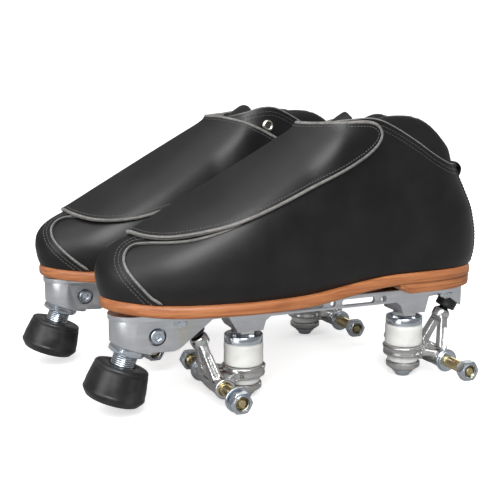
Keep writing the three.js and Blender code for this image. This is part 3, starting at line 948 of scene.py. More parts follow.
# ---- boot ------------------------------------------------------------------------------------
class BootForm:
    """The boot's outer surface as a function, grown or shrunk by any thickness."""

    FRONT = [(52, -67), (60, -71), (68, -74), (78, -75.5), (85, -74.6), (91, -70.5), (96, -63.5), (100, -54),
             (163, 59), (180, 69), (210, 82)]
    HEEL = [(52, 189), (60, 194), (68, 197.8), (78, 200), (90, 199.8), (107, 196), (122, 188.5), (135, 181.5),
            (150, 177), (210, 171)]
    OUTER_HALF = [(-76, 28), (-45, 33), (-15, 37.5), (15, 39.5), (45, 37), (75, 31.5), (110, 27.5), (150, 27),
                  (200, 26)]
    INNER_HALF = [(-76, 28), (-45, 35), (-15, 40.5), (15, 42), (45, 38), (75, 32), (110, 29), (150, 29.5),
                  (200, 28)]
    MIDDLE = [(-76, -6.5), (-45, -3.5), (-15, -1.5), (15, 0), (45, 0), (200, -1)]

    def __init__(self) -> None:
        """Reads the tables into smooth lines."""
        self.front = Table(self.FRONT, 2.0)
        self.heel = Table(self.HEEL, 3.0)
        self.outer = Table(self.OUTER_HALF, 8.0)
        self.inner = Table(self.INNER_HALF, 8.0)
        self.middle = Table(self.MIDDLE, 8.0)
        self.trees: dict[float, "Skin"] = {}

    def nose(self, grow: float) -> tuple[np.ndarray, np.ndarray]:
        """Heights and distances of the front line moved outward by grow."""
        z = np.arange(46.0, 214.0, 0.5)
        slope = np.gradient(self.front(z), z)
        long = np.sqrt(1 + slope ** 2)
        zn, yn = z + grow * slope / long, self.front(z) - grow / long
        order = np.argsort(zn)
        return zn[order], yn[order]

    def ridge(self, y: np.ndarray | float, grow: float) -> np.ndarray | float:
        """Height of the boot's middle line at a distance along it."""
        zn, yn = self.nose(grow)
        first = int(np.argmin(yn))
        return np.interp(y, np.maximum.accumulate(yn[first:]), zn[first:])

    @staticmethod
    def round_end(u: np.ndarray | float) -> np.ndarray | float:
        """Fullness of the plan outline near its ends."""
        return (1 - (1 - np.clip(u, 0, 1)) ** 2.3) ** 0.476

    def x(self, side: int, y: np.ndarray | float, z: np.ndarray | float, grow: float) -> np.ndarray | float:
        """Sideways place of the surface.

        Args:
            side: 1 for the outer side, -1 for the inner side.
            y: distance along the boot.
            z: height.
            grow: how far the surface is moved outward.

        Returns:
            X in millimetres.
        """
        zn, yn = self.nose(grow)
        nose, heel = np.interp(z, zn, yn), self.heel(z) + grow
        t = np.clip((z - 58) / (self.ridge(y, grow) - 58), 0, 1)
        arch = np.sqrt(1 - t ** 2.8)
        wall = arch + (1 - arch) * ease((y - 62) / 50)
        opening = 1 - 0.16 * ease((z - 95) / 70) * ease((y - 60) / 60)
        half = (self.outer(y) if side > 0 else self.inner(y)) + grow - 3 * (1 - ease((z - 58) / 16))
        full = self.round_end((y - nose) / 54) * self.round_end((heel - y) / 46)
        return self.middle(y) + side * half * full * wall * opening

    def rings(self, grow: float, steps: int = 52) -> np.ndarray:
        """Level rings of the whole surface, closer together over the toe."""
        levels = np.concatenate([np.arange(54, 84, 2.0), np.arange(84, 102, 0.8), np.arange(102.5, 186, 2.2)])
        zn, yn = self.nose(grow)
        out = []
        for z in levels:
            nose, heel = np.interp(z, zn, yn), self.heel(z) + grow
            y = nose + (heel - nose) * (1 - np.cos(np.pi * np.arange(steps + 1) / steps)) / 2
            right, left = self.x(1, y, z, grow), self.x(-1, y, z, grow)
            ring = [(right[i], y[i], z) for i in range(steps)] + [(left[i], y[i],
                                                                   z) for i in range(steps, 0, -1)]
            out.append(ring)
        return np.array(out)

    def body(self, grow: float, finish: str) -> Obj:
        """The whole surface as a closed body."""
        return loft("boot_body", self.rings(grow), finish)

    def skin(self, grow: float) -> "Skin":
        """The surface that strips and stitches are laid on."""
        if grow not in self.trees:
            self.trees[grow] = Skin(self.rings(grow))
        return self.trees[grow]

    def trace(self, side: int, line: np.ndarray, grow: float) -> np.ndarray:
        """Points of a side-view line (y, z) set on the surface."""
        y, z = line[:, 0], np.minimum(line[:, 1], self.ridge(line[:, 0], grow))
        return np.column_stack([self.x(side, y, z, grow), y, z])


class Skin:
    """A boot surface that points can be dropped onto."""

    def __init__(self, rings: np.ndarray) -> None:
        """Builds the search tree from level rings."""
        count, n = rings.shape[:2]
        faces = [(k * n + i, k * n + (i + 1) % n, (k + 1) * n + (i + 1) % n, (k + 1) * n + i)
                 for k in range(count - 1) for i in range(n)]
        self.tree = BVHTree.FromPolygons([Vector(v) for v in rings.reshape(-1, 3)], faces)
        self.centre = rings.reshape(-1, 3).mean(0)

    def drop(self, points: np.ndarray, blur: int = 2, closed: bool = False) -> tuple[np.ndarray, np.ndarray]:
        """Nearest surface points and their outward directions.

        Args:
            points: points near the surface.
            blur: how many neighbours along the line share one direction.
            closed: the line's end meets its start.

        Returns:
            The points on the surface and unit outward directions.
        """
        at, up = [], []
        for p in points:
            spot, normal, _, _ = self.tree.find_nearest(Vector(p))
            outward = Vector(p) - Vector(self.centre)
            outward.y *= 0.2
            at.append(spot)
            up.append(normal if normal.dot(outward) > 0 else -normal)
        up_array = np.array(up)
        if blur:
            mode = "wrap" if closed else "edge"
            wide = np.pad(up_array, ((blur, blur), (0, 0)), mode=mode)
            up_array = sum(wide[i:i + len(up_array)] for i in range(2 * blur + 1))
        up_array = up_array / np.linalg.norm(up_array, axis=1, keepdims=True)
        return np.array(at), up_array


def beside(points: np.ndarray, ups: np.ndarray, reach: float, closed: bool = False) -> np.ndarray:
    """A line that runs reach millimetres to the left of another over the same surface, seen from outside."""
    side = np.cross(ups, directions(points, closed))
    side /= np.linalg.norm(side, axis=1, keepdims=True)
    return points + side * reach


def patch(name: str, skin: Skin, grid: np.ndarray, thick: float, finish: str, rim: float = 0.25) -> Obj:
    """A thin piece laid on a surface.

    Args:
        name: name of the object.
        skin: surface of its outer face.
        grid: rows by columns of points near the surface.
        thick: its thickness.
        finish: key of its finish.
        rim: how far its border dips.

    Returns:
        A closed shell.
    """
    rows, cols = grid.shape[:2]
    at, up = skin.drop(grid.reshape(-1, 3), 0)
    border = np.zeros((rows, cols), bool)
    border[[0, -1], :] = True
    border[:, [0, -1]] = True
    outer = at - up * (border.reshape(-1, 1) * rim)
    inner = at - up * thick
    verts = np.vstack([outer, inner])
    n = rows * cols
    faces = []
    for r in range(rows - 1):
        for c in range(cols - 1):
            a, b, d, e = r * cols + c, r * cols + c + 1, (r + 1) * cols + c + 1, (r + 1) * cols + c
            faces += [(a, b, d, e), (n + e, n + d, n + b, n + a)]
    loop = [c for c in range(cols)] + [r * cols + cols - 1 for r in range(1, rows)] \
        + [(rows - 1) * cols + c for c in range(cols - 2, -1, -1)] + [r * cols for r in range(rows - 2, 0,
                                                                                              -1)]
    for i, a in enumerate(loop):
        b = loop[(i + 1) % len(loop)]
        faces.append((b, a, n + a, n + b))
    return tidy_mesh(object_from(name, verts, faces, finish), 0.0005, 50)


@dataclass
class Boot:
    """Leather boot of the left skate: upper, sewn panels, flap, tongue, collar, laces and soles."""

    form: BootForm = field(default_factory=BootForm)
    leather: float = 4.5
    panel: float = 1.2
    flap_low: float = 1.6
    flap_high: float = 3.8
    heel_rise: float = 6.9
    toe_spring: float = 3.0

    TOP_OUTER = [(60, 169), (72, 169.4), (84, 170.6), (92, 171.4), (98, 172), (104.5, 171.7), (112, 169.8),
                 (124, 164.3), (133, 159.2), (141, 154.5), (150, 148.8), (160, 143.4), (170, 139.3),
                 (184, 137)]
    TOP_INNER = [(60, 168.6), (70, 168.8), (78, 170), (87, 172.5), (94, 175), (101, 176), (107, 175.4),
                 (114, 172.6), (123, 168), (129, 164.6), (141, 157.4), (150, 150.8), (160, 144.4),
                 (170, 139.6),
                 (184, 137)]
    COLLAR_TOP = [(92, 168), (100, 170.6), (110, 172.8), (122, 174.3), (134, 174), (146, 171.2), (156, 166.5),
                  (166, 160.5), (176, 153.5), (182, 149.5)]
    LACE_ROWS = (29.0, 38.5, 48.0, 57.5)
    SEAM_OUTER = [(-41, 59.5), (-42.5, 61), (-48.1, 64.9), (-53.5, 70.9), (-58.6, 77.7), (-61.4, 83),
                  (-61.9, 87.7),
                  (-59.8, 92.2), (-54.7, 95.9), (-47.2, 97.4), (-34.5, 98.4), (-23.9, 99.7), (-12, 102.5),
                  (4, 108), (13, 113)]
    SEAM_INNER = [(-42, 59.5), (-44, 61.5), (-49.5, 65.8), (-56.4, 71.9), (-62.6, 78.6), (-66.0, 84.5),
                  (-65.8, 90), (-62, 94.4), (-56.4, 97.2), (-47.5, 98.6), (-38, 98.4), (-24, 99.6),
                  (-8, 103.5),
                  (13, 113)]
    FLAP_OUTER = [(-55.4, 103.6), (-52, 102.2), (-47.3, 101.3), (-37, 101.2), (-25.8, 102.7), (-14, 105.1),
                  (-1.4, 108.1), (19.8, 115.2), (50, 127.1), (84, 141.7), (99, 149.6), (106.5, 156),
                  (109, 161.5), (106.5, 166.7), (100, 169.4), (84, 169.3), (66, 168.6)]
    FLAP_INNER = [(-55.4, 103.2), (-51.5, 101), (-44.7, 98.8), (-37, 97.4), (-27, 97.1), (-16.6, 97.6),
                  (-5.7, 98.9), (7.5, 102), (50, 112.6), (84, 124.6), (104, 133.5), (113.5, 139), (116, 144),
                  (110.5, 149.6), (90.6, 160.4), (75, 166.4), (66, 168.6)]

    def sole_lift(self, y: np.ndarray | float) -> np.ndarray | float:
        """How far the sole stands above the plate."""
        return self.heel_rise * ease((y - 45) / 85) + self.toe_spring * np.clip((-28 - y) / 45, 0, 1) ** 2

    def sole_bottom(self, y: np.ndarray | float) -> np.ndarray | float:
        """Underside of the outsole."""
        return PLATE_TOP + CLEAR + self.sole_lift(y)

    def sole_top(self, y: np.ndarray | float) -> np.ndarray | float:
        """Upper face of the outsole."""
        return self.sole_bottom(y) + SOLE_THICK

    def below_sole(self, above: float) -> Obj:
        """A tool that takes away everything under the sole's upper face plus above."""
        ys = np.arange(-95, 226, 4.0)
        line = [(y, float(self.sole_top(y)) + above) for y in ys]
        return prism("below_sole", line + [(225, 20), (-95, 20)], Axis.X, -80, 80, "lining")

    def top_tool(self, side: int) -> Obj:
        """A tool that trims one side of the upper to its topline."""
        line = [tuple(p) for p in flow(self.TOP_OUTER if side > 0 else self.TOP_INNER, 5)]
        outline = [(24, 230), (44, 169.5)] + line + [(232, 137), (232, 230)]
        low, high = (-1.03, 90) if side > 0 else (-90, -0.97)
        return prism("top_tool", outline, Axis.X, low, high, "edge")

    def upper(self) -> Obj:
        """Vamp and quarters as one lined shell with its throat and ankle opening."""
        shell = self.form.body(0.0, "hide")
        boolean(shell, Join.CUT, self.below_sole(-0.25))
        hollow = boolean(self.form.body(-self.leather, "lining"), Join.CUT, self.below_sole(CLEAR + 2.5))
        throat = prism("throat", [(-9, 24), (-6, 16), (6, 16), (9, 24), (13, 100), (-13, 100)], Axis.Z, 100,
                       220,
                       "edge")
        boolean(shell, Join.CUT, hollow, self.top_tool(1), self.top_tool(-1), throat)
        shell.name = "boot_upper"
        return tidy_mesh(shell, 0.02, 38)

    def front_panel(self) -> Obj:
        """The overlaid toe and instep panel, cut away in a U on each side."""
        shell = self.form.body(self.panel, "hide")
        boolean(shell, Join.CUT, self.form.body(-0.6, "hide"))
        regions = []
        for seam, low, high in ((self.SEAM_OUTER, -4.5, 70), (self.SEAM_INNER, -70, -4.5)):
            line = [tuple(p) for p in flow(seam, 6)]
            outline = [(-95, 50), (line[0][0], 50)] + line + [(13, 140), (-95, 140)]
            regions.append(prism("region", outline, Axis.X, low, high, "edge"))
        region = boolean(regions[0], Join.ADD, regions[1])
        boolean(shell, Join.KEEP, region)
        boolean(shell, Join.CUT, self.below_sole(-0.2))
        shell.name = "front_panel"
        return tidy_mesh(shell, 0.02, 38)

    def flap_shell(self) -> Obj:
        """The instep flap: one piece of leather from its sewn inner edge to its free outer edge."""
        shell = self.form.body(self.flap_high, "strap")
        boolean(shell, Join.CUT, self.form.body(self.flap_low, "lining"))
        regions = []
        for low_line, low, high in ((self.FLAP_OUTER, -2.0, 80), (self.FLAP_INNER, -80, -2.0)):
            line = [tuple(p) for p in flow(low_line, 6)]
            outline = [(-58, 130), (-58, 105.4)] + line + [(30, 168.6)]
            regions.append(prism("region", outline, Axis.X, low, high, "edge"))
        region = boolean(regions[0], Join.ADD, regions[1])
        boolean(shell, Join.KEEP, region)
        shell.name = "instep_flap"
        return tidy_mesh(shell, 0.02, 38)

    def flap_rim(self) -> tuple[np.ndarray, np.ndarray]:
        """The flap's whole edge as a closed line in the middle of its thickness."""
        grow = (self.flap_low + self.flap_high) / 2
        form = self.form
        outer = form.trace(1, flow(self.FLAP_OUTER, 8), grow)
        inner = form.trace(-1, flow(self.FLAP_INNER, 8), grow)[::-1]
        z_top = 168.6
        zn, yn = form.nose(grow)
        y_top = float(np.interp(z_top, zn, yn))
        y_tip = -56.2
        tip = [[float(form.middle(y_tip)), y_tip, float(form.ridge(y_tip, grow))]]
        near_top = [[float(form.x(s, y_top + d, z_top, grow)), y_top + d, z_top]
                    for s, d in ((1, 2.0), (1, 0.5), (1, 0.0), (-1, 0.5), (-1, 2.0))]
        loop = np.vstack([tip, outer, near_top, inner])
        loop = spaced(loop, 1.5, True)
        for _ in range(3):
            loop = (np.roll(loop, 1, 0) + 2 * loop + np.roll(loop, -1, 0)) / 4
        return form.skin(grow).drop(loop, 3, True)

    def seam_line(self, side: int, grow: float) -> tuple[np.ndarray, np.ndarray]:
        """The front panel's U-shaped edge on one side."""
        line = flow(self.SEAM_OUTER if side > 0 else self.SEAM_INNER, 8)
        line = line[line[:, 1] > self.sole_top(line[:, 0]) + 0.3]
        points = spaced(self.form.trace(side, line, grow), 1.2)
        return self.form.skin(grow).drop(points, 3)

    def top_line(self, side: int, down: float, grow: float, start: float) -> tuple[np.ndarray, np.ndarray]:
        """A line that runs under the topline from start to the middle of the heel."""
        line = flow(self.TOP_OUTER if side > 0 else self.TOP_INNER, 8)
        line = line[line[:, 0] > start] - np.array([0, down])
        heel = self.form.heel(line[:, 1]) + grow
        line = line[line[:, 0] < heel - 0.05]
        points = self.form.trace(side, line, grow)
        z_end = points[-1, 2]
        end = [float(self.form.middle(180)), float(self.form.heel(z_end)) + grow, z_end]
        return self.form.skin(grow).drop(spaced(np.vstack([points, [end]]), 1.5), 3)

    def round_top(self, down: float, grow: float, start: float) -> tuple[np.ndarray, np.ndarray]:
        """The line under the topline from the outer side round the heel to the inner side."""
        outer, _ = self.top_line(1, down, grow, start)
        inner, _ = self.top_line(-1, down, grow, start)
        both = spaced(np.vstack([outer, inner[::-1]]), 1.5)
        for _ in range(4):
            both[1:-1] = (both[:-2] + 2 * both[1:-1] + both[2:]) / 4
        return self.form.skin(grow).drop(both, 3)

    def edges(self) -> list[Obj]:
        """Raw leather edges as rounded strips: seams of the front panel and the topline."""
        out = []
        for side, word in ((1, "outer"), (-1, "inner")):
            at, up = self.seam_line(side, 0.55)
            out.append(sweep(f"seam_edge_{word}", at, up, oval(0.95, 0.85, 8, 0.8), "edge", taper=0.02))
        at, up = self.round_top(0.0, -0.9, 76)
        out.append(sweep("topline_edge", at, up, oval(0.55, 1.15, 8, 0.7), "edge", taper=0.02))
        return out

    def seam_stitches(self) -> list[Obj]:
        """Rows of stitches along the seams of the front panel and below the topline."""
        out = []
        for side, word in ((1, "outer"), (-1, "inner")):
            at, up = self.seam_line(side, 0.6)
            for row, reach in enumerate((3.3, 5.9)):
                line = beside(at, up, reach * side)
                on, ups = self.form.skin(self.panel).drop(spaced(line, 1.0), 3)
                keep = on[:, 2] > self.sole_top(on[:, 1]) + 0.8
                out.append(stitch_row(f"seam_stitches_{word}_{row}", on[keep], ups[keep], "thread", 2.3, 1.7,
                                      0.3))
        for row, down in enumerate((3.4, 6.2)):
            at, up = self.round_top(down, 0.0, 80)
            out.append(stitch_row(f"topline_stitches_{row}", at, up, "seam", 2.6, 1.9, 0.34))
        return out

    def collar(self) -> Obj:
        """Padded ankle collar that stands above the leather topline."""
        top = Table(self.COLLAR_TOP, 4.0)
        section = [(-1.3, 0.0), (-1.2, 0.3), (-1.0, 0.55), (-0.7, 0.74), (-0.8, 0.87), (-1.7, 0.955),
                   (-3.4, 1.0), (-5.4, 0.985), (-7.2, 0.92), (-8.2, 0.8), (-8.6, 0.6), (-8.2, 0.35), (-6.8, 0.1),
                   (-4.0, -0.04)]
        outer = self.top_line(1, 0.0, 0.0, 96)[0]
        inner = self.top_line(-1, 0.0, 0.0, 96)[0][::-1]
        path = spaced(np.vstack([outer, inner]), 2.5)
        rings = []
        for k, p in enumerate(path):
            u = k / (len(path) - 1)
            open_up = float(ease(min(u, 1 - u) / 0.06))
            ring = []
            for grow, rise in section:
                low, high = p[2] - 14, float(top(p[1]))
                z = low + (high - low) * rise * (0.55 + 0.45 * open_up)
                thin = -1.3 + (grow + 1.3) * (0.25 + 0.75 * open_up)
                near_heel = p[1] / max(float(self.form.heel(p[2])), 1)
                y = (p[1] + (float(self.form.heel(z)) - float(self.form.heel(p[2])))
                     * float(ease((near_heel - 0.7) / 0.3)))
                ring.append(self.inward(p, z, y, thin))
            rings.append(ring)
        rings_array = np.array(rings)
        count, n = rings_array.shape[:2]
        faces = [(k * n + i, k * n + (i + 1) % n, (k + 1) * n + (i + 1) % n, (k + 1) * n + i)
                 for k in range(count - 1) for i in range(n)] + [range(n), range((count - 1) * n, count * n)]
        obj = tidy_mesh(object_from("padded_collar", rings_array.reshape(-1, 3), faces, "collar"), 0.001, 80)
        modify(obj, "SUBSURF", levels=1, render_levels=1)
        return obj

    def inward(self, p: np.ndarray, z: float, y: float, grow: float) -> tuple[float, float, float]:
        """A point grow millimetres off the surface at height z, level with p along the wall."""
        skin = self.form.skin(0.0)
        probe = np.array([[p[0] + (p[0] - self.form.middle(p[1])) * 0.02, y, min(z, 183.0)]])
        at, up = skin.drop(probe, 0)
        flat = np.array([up[0][0], up[0][1], 0.0])
        flat /= max(np.linalg.norm(flat), 1e-6)
        spot = at[0] + flat * grow
        return float(spot[0]), float(spot[1]), z

    def tongue(self) -> Obj:
        """Padded tongue that lies under the throat and rises to a rounded tip."""
        line = flow([(14, 128.6), (30, 138.5), (50, 150.0), (66, 159.8), (77, 168.2), (86, 174.6),
                     (92.5, 178.4)], 6)
        line = spaced(line, 2.5)
        t = directions(line, False)
        out_dir = np.column_stack([-t[:, 1], t[:, 0]])
        count = len(line)
        rings = []
        across = 24
        for k in range(count):
            s = k / (count - 1)
            end = math.sqrt(max(0.0, 1 - max(0.0, (s - 0.93) / 0.07) ** 2))
            start = math.sqrt(max(0.0, 1 - max(0.0, (0.05 - s) / 0.05) ** 2))
            cap = max(end * start, 0.08)
            half = (19.5 - 4.0 * float(ease((s - 0.35) / 0.4))) * (0.75 + 0.25 * cap)
            sag = 12.5 - 8.0 * float(ease((s - 0.35) / 0.45))
            thick = (3.6 + 4.6 * float(ease((s - 0.45) / 0.4))) * cap
            ring = []
            for i in range(across):
                a = 2 * math.pi * i / across
                u = math.cos(a)
                x = half * math.copysign(abs(u) ** 0.8, u)
                depth = (-sag * abs(x / half) ** 2 - thick / 2
                         + thick / 2 * math.copysign(abs(math.sin(a)) ** 0.75, math.sin(a)))
                ring.append((x, line[k][0] + out_dir[k][0] * depth, line[k][1] + out_dir[k][1] * depth))
            rings.append(ring)
        rings_array = np.array(rings)
        faces = [(k * across + i, k * across + (i + 1) % across, (k + 1) * across + (i + 1) % across,
                  (k + 1) * across + i) for k in range(count - 1) for i in range(across)]
        faces += [range(across), range((count - 1) * across, count * across)]
        obj = tidy_mesh(object_from("tongue", rings_array.reshape(-1, 3), faces, "collar"), 0.001, 80)
        modify(obj, "SUBSURF", levels=1, render_levels=1)
        return obj

    def eyelets(self) -> list[Obj]:
        """Metal eyelets beside the throat and on each ear, with dark barrels."""
        spots = [(1, 99.5, 162.5), (-1, 100.7, 162.0)]
        plan = []
        for y in self.LACE_ROWS:
            half = self.eyelet_half(y)
            for side in (1, -1):
                z = self.height_at(side * half, y)
                plan.append((side, y, z))
        out = []
        for number, (side, y, z) in enumerate(spots + plan):
            at, up = self.form.skin(0.0).drop(np.array([[self.form.x(side, y, z, 0.0), y, z]]), 0)
            size = 1.0 if number < 2 else 0.68
            ring = turned(f"eyelet_{number}",
                          [(2.3 * size, -0.5), (4.1 * size, -0.5), (4.4 * size, 0.1), (3.9 * size, 0.62),
                                               (3.1 * size, 0.85), (2.5 * size, 0.55), (2.2 * size, -0.1)],
                          "brass", 28)
            plug = turned("barrel", [(0, -0.5), (2.4 * size, -0.5), (2.35 * size, 0.12), (0, 0.12)], "lining",
                          20)
            piece = merged(f"eyelet_{number}", [ring, plug])
            turn = Vector(up[0]).to_track_quat("Z", "Y").to_matrix().to_4x4()
            out.append(settle(piece, Matrix.Translation(Vector(at[0]) * MM) @ turn))
        return out

    @staticmethod
    def eyelet_half(y: float) -> float:
        """Distance of an eyelet from the throat's middle: half the throat and its margin."""
        return 9 + (y - 24) * 4 / 76 + 5.6

    def height_at(self, x: float, y: float) -> float:
        """Height of the surface over a point of the plan view."""
        spot, _, _, _ = self.form.skin(0.0).tree.ray_cast(Vector((x, y, 220)), Vector((0, 0, -1)))
        return spot.z if spot else 150.0

    def laces(self) -> list[Obj]:
        """Flat laces crossed over the tongue between the eyelets."""
        rows = self.LACE_ROWS
        out = []
        for number, y in enumerate(rows[:-1]):
            for side, grow in ((1, 0.45), (-1, 1.15)):
                ends = []
                for s, at in ((side, y), (-side, rows[number + 1])):
                    half = self.eyelet_half(at)
                    ends.append((s * half, at, self.height_at(s * half, at)))
                a, b = np.array(ends[0]), np.array(ends[1])
                line = np.array([a + (b - a) * u + np.array([0, 0, 10 * math.sin(math.pi * u)])
                                 for u in np.linspace(0, 1, 24)])
                at, up = self.form.skin(grow).drop(line, 3)
                out.append(sweep(f"lace_{number}_{'outer' if side > 0 else 'inner'}", at, up,
                                 oval(2.3, 0.42, 8, 0.6),
                                 "lace", taper=0.04))
        return out

    def hook_tape(self) -> Obj:
        """Hook-and-loop patch on the outer quarter, under the free half of the flap."""
        rows = []
        for f in np.linspace(0, 1, 10):
            low = flow([(6, 113.5), (40, 127), (74, 141.5)], 8)
            line = low + np.array([-2.0, 7.5]) * f
            rows.append(self.form.trace(1, line, 0.7))
        return patch("hook_tape", self.form.skin(0.9), np.array(rows), 1.1, "tape", 0.3)

    def back_strip(self) -> Obj:
        """Strip sewn up the back seam."""
        rows = []
        for z in np.linspace(66.6, 138.4, 34):
            half = 8.2 + 1.6 * ((138.4 - z) / 72)
            y = float(self.form.heel(z))
            rows.append([(float(self.form.middle(190)) + u, y - 0.018 * u * u,
                          z) for u in np.linspace(-half, half, 13)])
        return patch("back_strip", self.form.skin(1.1), np.array(rows), 1.3, "hide", 0.35)

    def back_stitches(self) -> list[Obj]:
        """Stitches along both edges of the back strip."""
        out = []
        for side, word in ((1, "outer"), (-1, "inner")):
            line = []
            for z in np.linspace(68.5, 136.5, 40):
                u = side * (8.2 + 1.6 * ((138.4 - z) / 72) - 1.7)
                line.append((float(self.form.middle(190)) + u, float(self.form.heel(z)) - 0.018 * u * u + 1,
                             z))
            at, up = self.form.skin(1.1).drop(np.array(line), 3)
            out.append(stitch_row(f"back_stitches_{word}", at, up, "seam", 2.6, 1.9, 0.32))
        return out

    def pull_tab(self) -> Obj:
        """Small folded tab at the top of the back strip."""
        line = flow([(0, 183.6, 127), (0, 187.6, 130.4), (0, 188.3, 135.0), (0, 185.2, 138.4),
                     (0, 181.6, 139.2)], 6)
        line[:, 0] += float(self.form.middle(190))
        ups = np.column_stack([np.zeros(len(line)), -directions(line, False)[:, 2],
                               directions(line, False)[:, 1]])
        return sweep("pull_tab", line, -ups, oval(3.4, 0.75, 10, 0.6), "hide", taper=0.05)

    def plank(self, name: str, y0: float, y1: float, nose: float, heel: float, grow: float,
              levels: Sequence[tuple[float, Callable, float]], finish: str, steps: int = 46) -> Obj:
        """A flat sole layer.

        Args:
            name: name of the object.
            y0: where it starts.
            y1: where it ends.
            nose: front end of the full outline.
            heel: rear end of the full outline.
            grow: how far it stands out past the boot.
            levels: rows of inset, height function and extra height, from the bottom up.
            finish: key of its finish.
            steps: stations along its length.

        Returns:
            The layer.
        """
        y = y0 + (y1 - y0) * (1 - np.cos(np.pi * np.arange(steps + 1) / steps)) / 2
        rings = []
        for inset, height, extra in levels:
            inside = np.clip(y, nose + 0.25, heel - 0.25)
            full = self.form.round_end((inside - nose) / 54) * self.form.round_end((heel - inside) / 46)
            middle = self.form.middle(inside)
            right = middle + (self.form.outer(inside) + grow) * full
            left = middle - (self.form.inner(inside) + grow) * full
            centre_y = (y0 + y1) / 2
            ys = centre_y + (y - centre_y) * (1 - 2 * inset / (y1 - y0))
            half = np.maximum((right - left) / 2, 0.3)
            shrink = np.maximum(half - inset, 0.1) / half
            mid = (right + left) / 2
            z = height(ys) + extra
            ring = [(mid[i] + (right[i] - mid[i]) * shrink[i], ys[i], z[i]) for i in range(steps)]
            ring += [(mid[i] + (left[i] - mid[i]) * shrink[i], ys[i], z[i]) for i in range(steps, 0, -1)]
            rings.append(ring)
        return loft(name, np.array(rings), finish, 50)

    def soles(self) -> list[Obj]:
        """Outsole, two heel layers and insole."""
        bottom, top = self.sole_bottom, self.sole_top
        out = [self.plank("outsole", -73.8, 196.8, -73.9, 196.9, 1.2, [
            (1.1, bottom, 0.0), (0.45, bottom, 0.35), (0.1, bottom, 1.2), (0.0, bottom, 3.2),
                                                                       (0.05, top, -2.2),
            (0.25, top, -1.1), (0.7, top, -0.35), (1.3, top, -0.05)], "sole")]

        def under(y: np.ndarray) -> np.ndarray:
            """Foot of the heel, cut to a wedge at its front."""
            return PLATE_TOP + CLEAR + np.maximum(0, (134 - y) * 0.5)

        def seam(y: np.ndarray) -> np.ndarray:
            """Where the two heel layers meet."""
            return np.minimum(PLATE_TOP + CLEAR + 3.3 + np.maximum(0, (134 - y) * 0.5), bottom(y) - 0.25)

        def upper_face(y: np.ndarray) -> np.ndarray:
            """Top of the heel, just under the outsole."""
            return bottom(y) - 0.05

        out.append(self.plank("heel_lift", 126, 196.2, -73.9, 196.4, 0.6, [
            (1.0, under, 0.0), (0.3, under, 0.4), (0.0, seam, -0.9), (0.05, seam, -0.35), (0.45, seam, -0.05),
            (0.45, seam, 0.05), (0.05, seam, 0.3), (0.0, upper_face, -0.5), (0.4, upper_face, 0.0)], "heel",
                              30))
        out.append(self.plank("insole", -68, 190, -68.2, 190.2, -5.6, [
            (1.2, top, CLEAR + 2.2), (0.0, top, CLEAR + 2.6), (0.0, top, CLEAR + 3.4),
                                                                       (1.2, top, CLEAR + 3.9)],
            "insole"))
        return out


# ---- plate and toe stop ----------------------------------------------------------------------
@dataclass
class Plate:
    """Alloy plate with its clamp bolt and mounting nuts."""

    round_over: float = 0.55
    clamp_y: float = -42.4
    clamp_z: float = 37.6
    flange_low: float = 48.4
    nut_places: tuple = ((17.0, -28.0), (-17.0, -28.0), (14.8, 171.5), (-14.8, 171.5))

    def body(self) -> Obj:
        """The plate itself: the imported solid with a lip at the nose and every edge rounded."""
        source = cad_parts["left_plate"]
        obj = bpy.data.objects.new("plate", source.data.copy())
        bpy.context.scene.collection.objects.link(obj)
        obj.data.materials.clear()
        obj.data.materials.append(Rack.get("plate"))
        settle(obj, Matrix.Translation(-Side.LEFT.origin))
        edit(obj, lambda: bpy.ops.mesh.remove_doubles(threshold=0.00001),
             lambda: bpy.ops.mesh.dissolve_limited(angle_limit=math.radians(0.6)))
        lip = bpy.data.objects.new("lip", obj.data.copy())
        bpy.context.scene.collection.objects.link(lip)
        boolean(lip, Join.KEEP, block("slab", (-60, -90, self.flange_low + 0.4), (60, 30, 60), "plate"))
        edit(lip, lambda: bpy.ops.mesh.remove_doubles(threshold=0.00001),
             lambda: bpy.ops.transform.shrink_fatten(value=0.75 * MM, use_even_offset=True))
        for vertex in lip.data.vertices:
            vertex.co.z = min(max(vertex.co.z, (self.flange_low + 0.4) * MM), (PLATE_TOP + 0.04) * MM)
        at = (self.clamp_y, self.clamp_z)
        boolean(obj, Join.CUT, cylinder("seat", 5.9, (9.7, *at), (30, *at), 40, "plate"))
        return merged("plate", [softened(obj, self.round_over, 30, 2), softened(lip, 0.3, 30, 1)])

    def clamp_bolt(self) -> Obj:
        """Socket-head bolt across the toe stop housing."""
        head = turned("clamp_bolt",
                      [(0, 9.8), (4.2, 9.8), (4.8, 10.3), (4.8, 14.5), (4.35, 15.3), (3.9, 15.4),
                                     (0, 15.4)], "zinc", 40)
        boolean(head, Join.CUT, prism("key", hexagon(4.4), Axis.Z, 12.6, 17, "zinc"))
        shank = turned("shank", [(0, -7.6), (2.2, -7.6), (2.5, -7.2), (2.5, 10.9), (0, 10.9)], "zinc", 24)
        return along_x(merged("clamp_bolt", [softened(head, 0.15, 30, 1), shank]), self.clamp_y, self.clamp_z)

    def mount_nuts(self) -> list[Obj]:
        """Lock nuts, washers and bolt ends under the plate's flanges."""
        out = []
        for number, (x, y) in enumerate(self.nut_places):
            low = self.flange_low
            hexed = nut("mount_nut", 8.0, low - 3.9, low - 0.8, 2.6, "zinc")
            ring = washer("mount_washer", 4.9, 2.7, low - 0.75, low - 0.05, "zinc")
            tip = thread_rod("bolt_end", 2.5, low - 4.8, low + 0.5, 0.8, 0.35, "zinc", 20)
            piece = merged(f"mount_nut_{number}", [hexed, ring, tip])
            out.append(settle(piece, Matrix.Translation(Vector((x, y, 0)) * MM)))
        return out


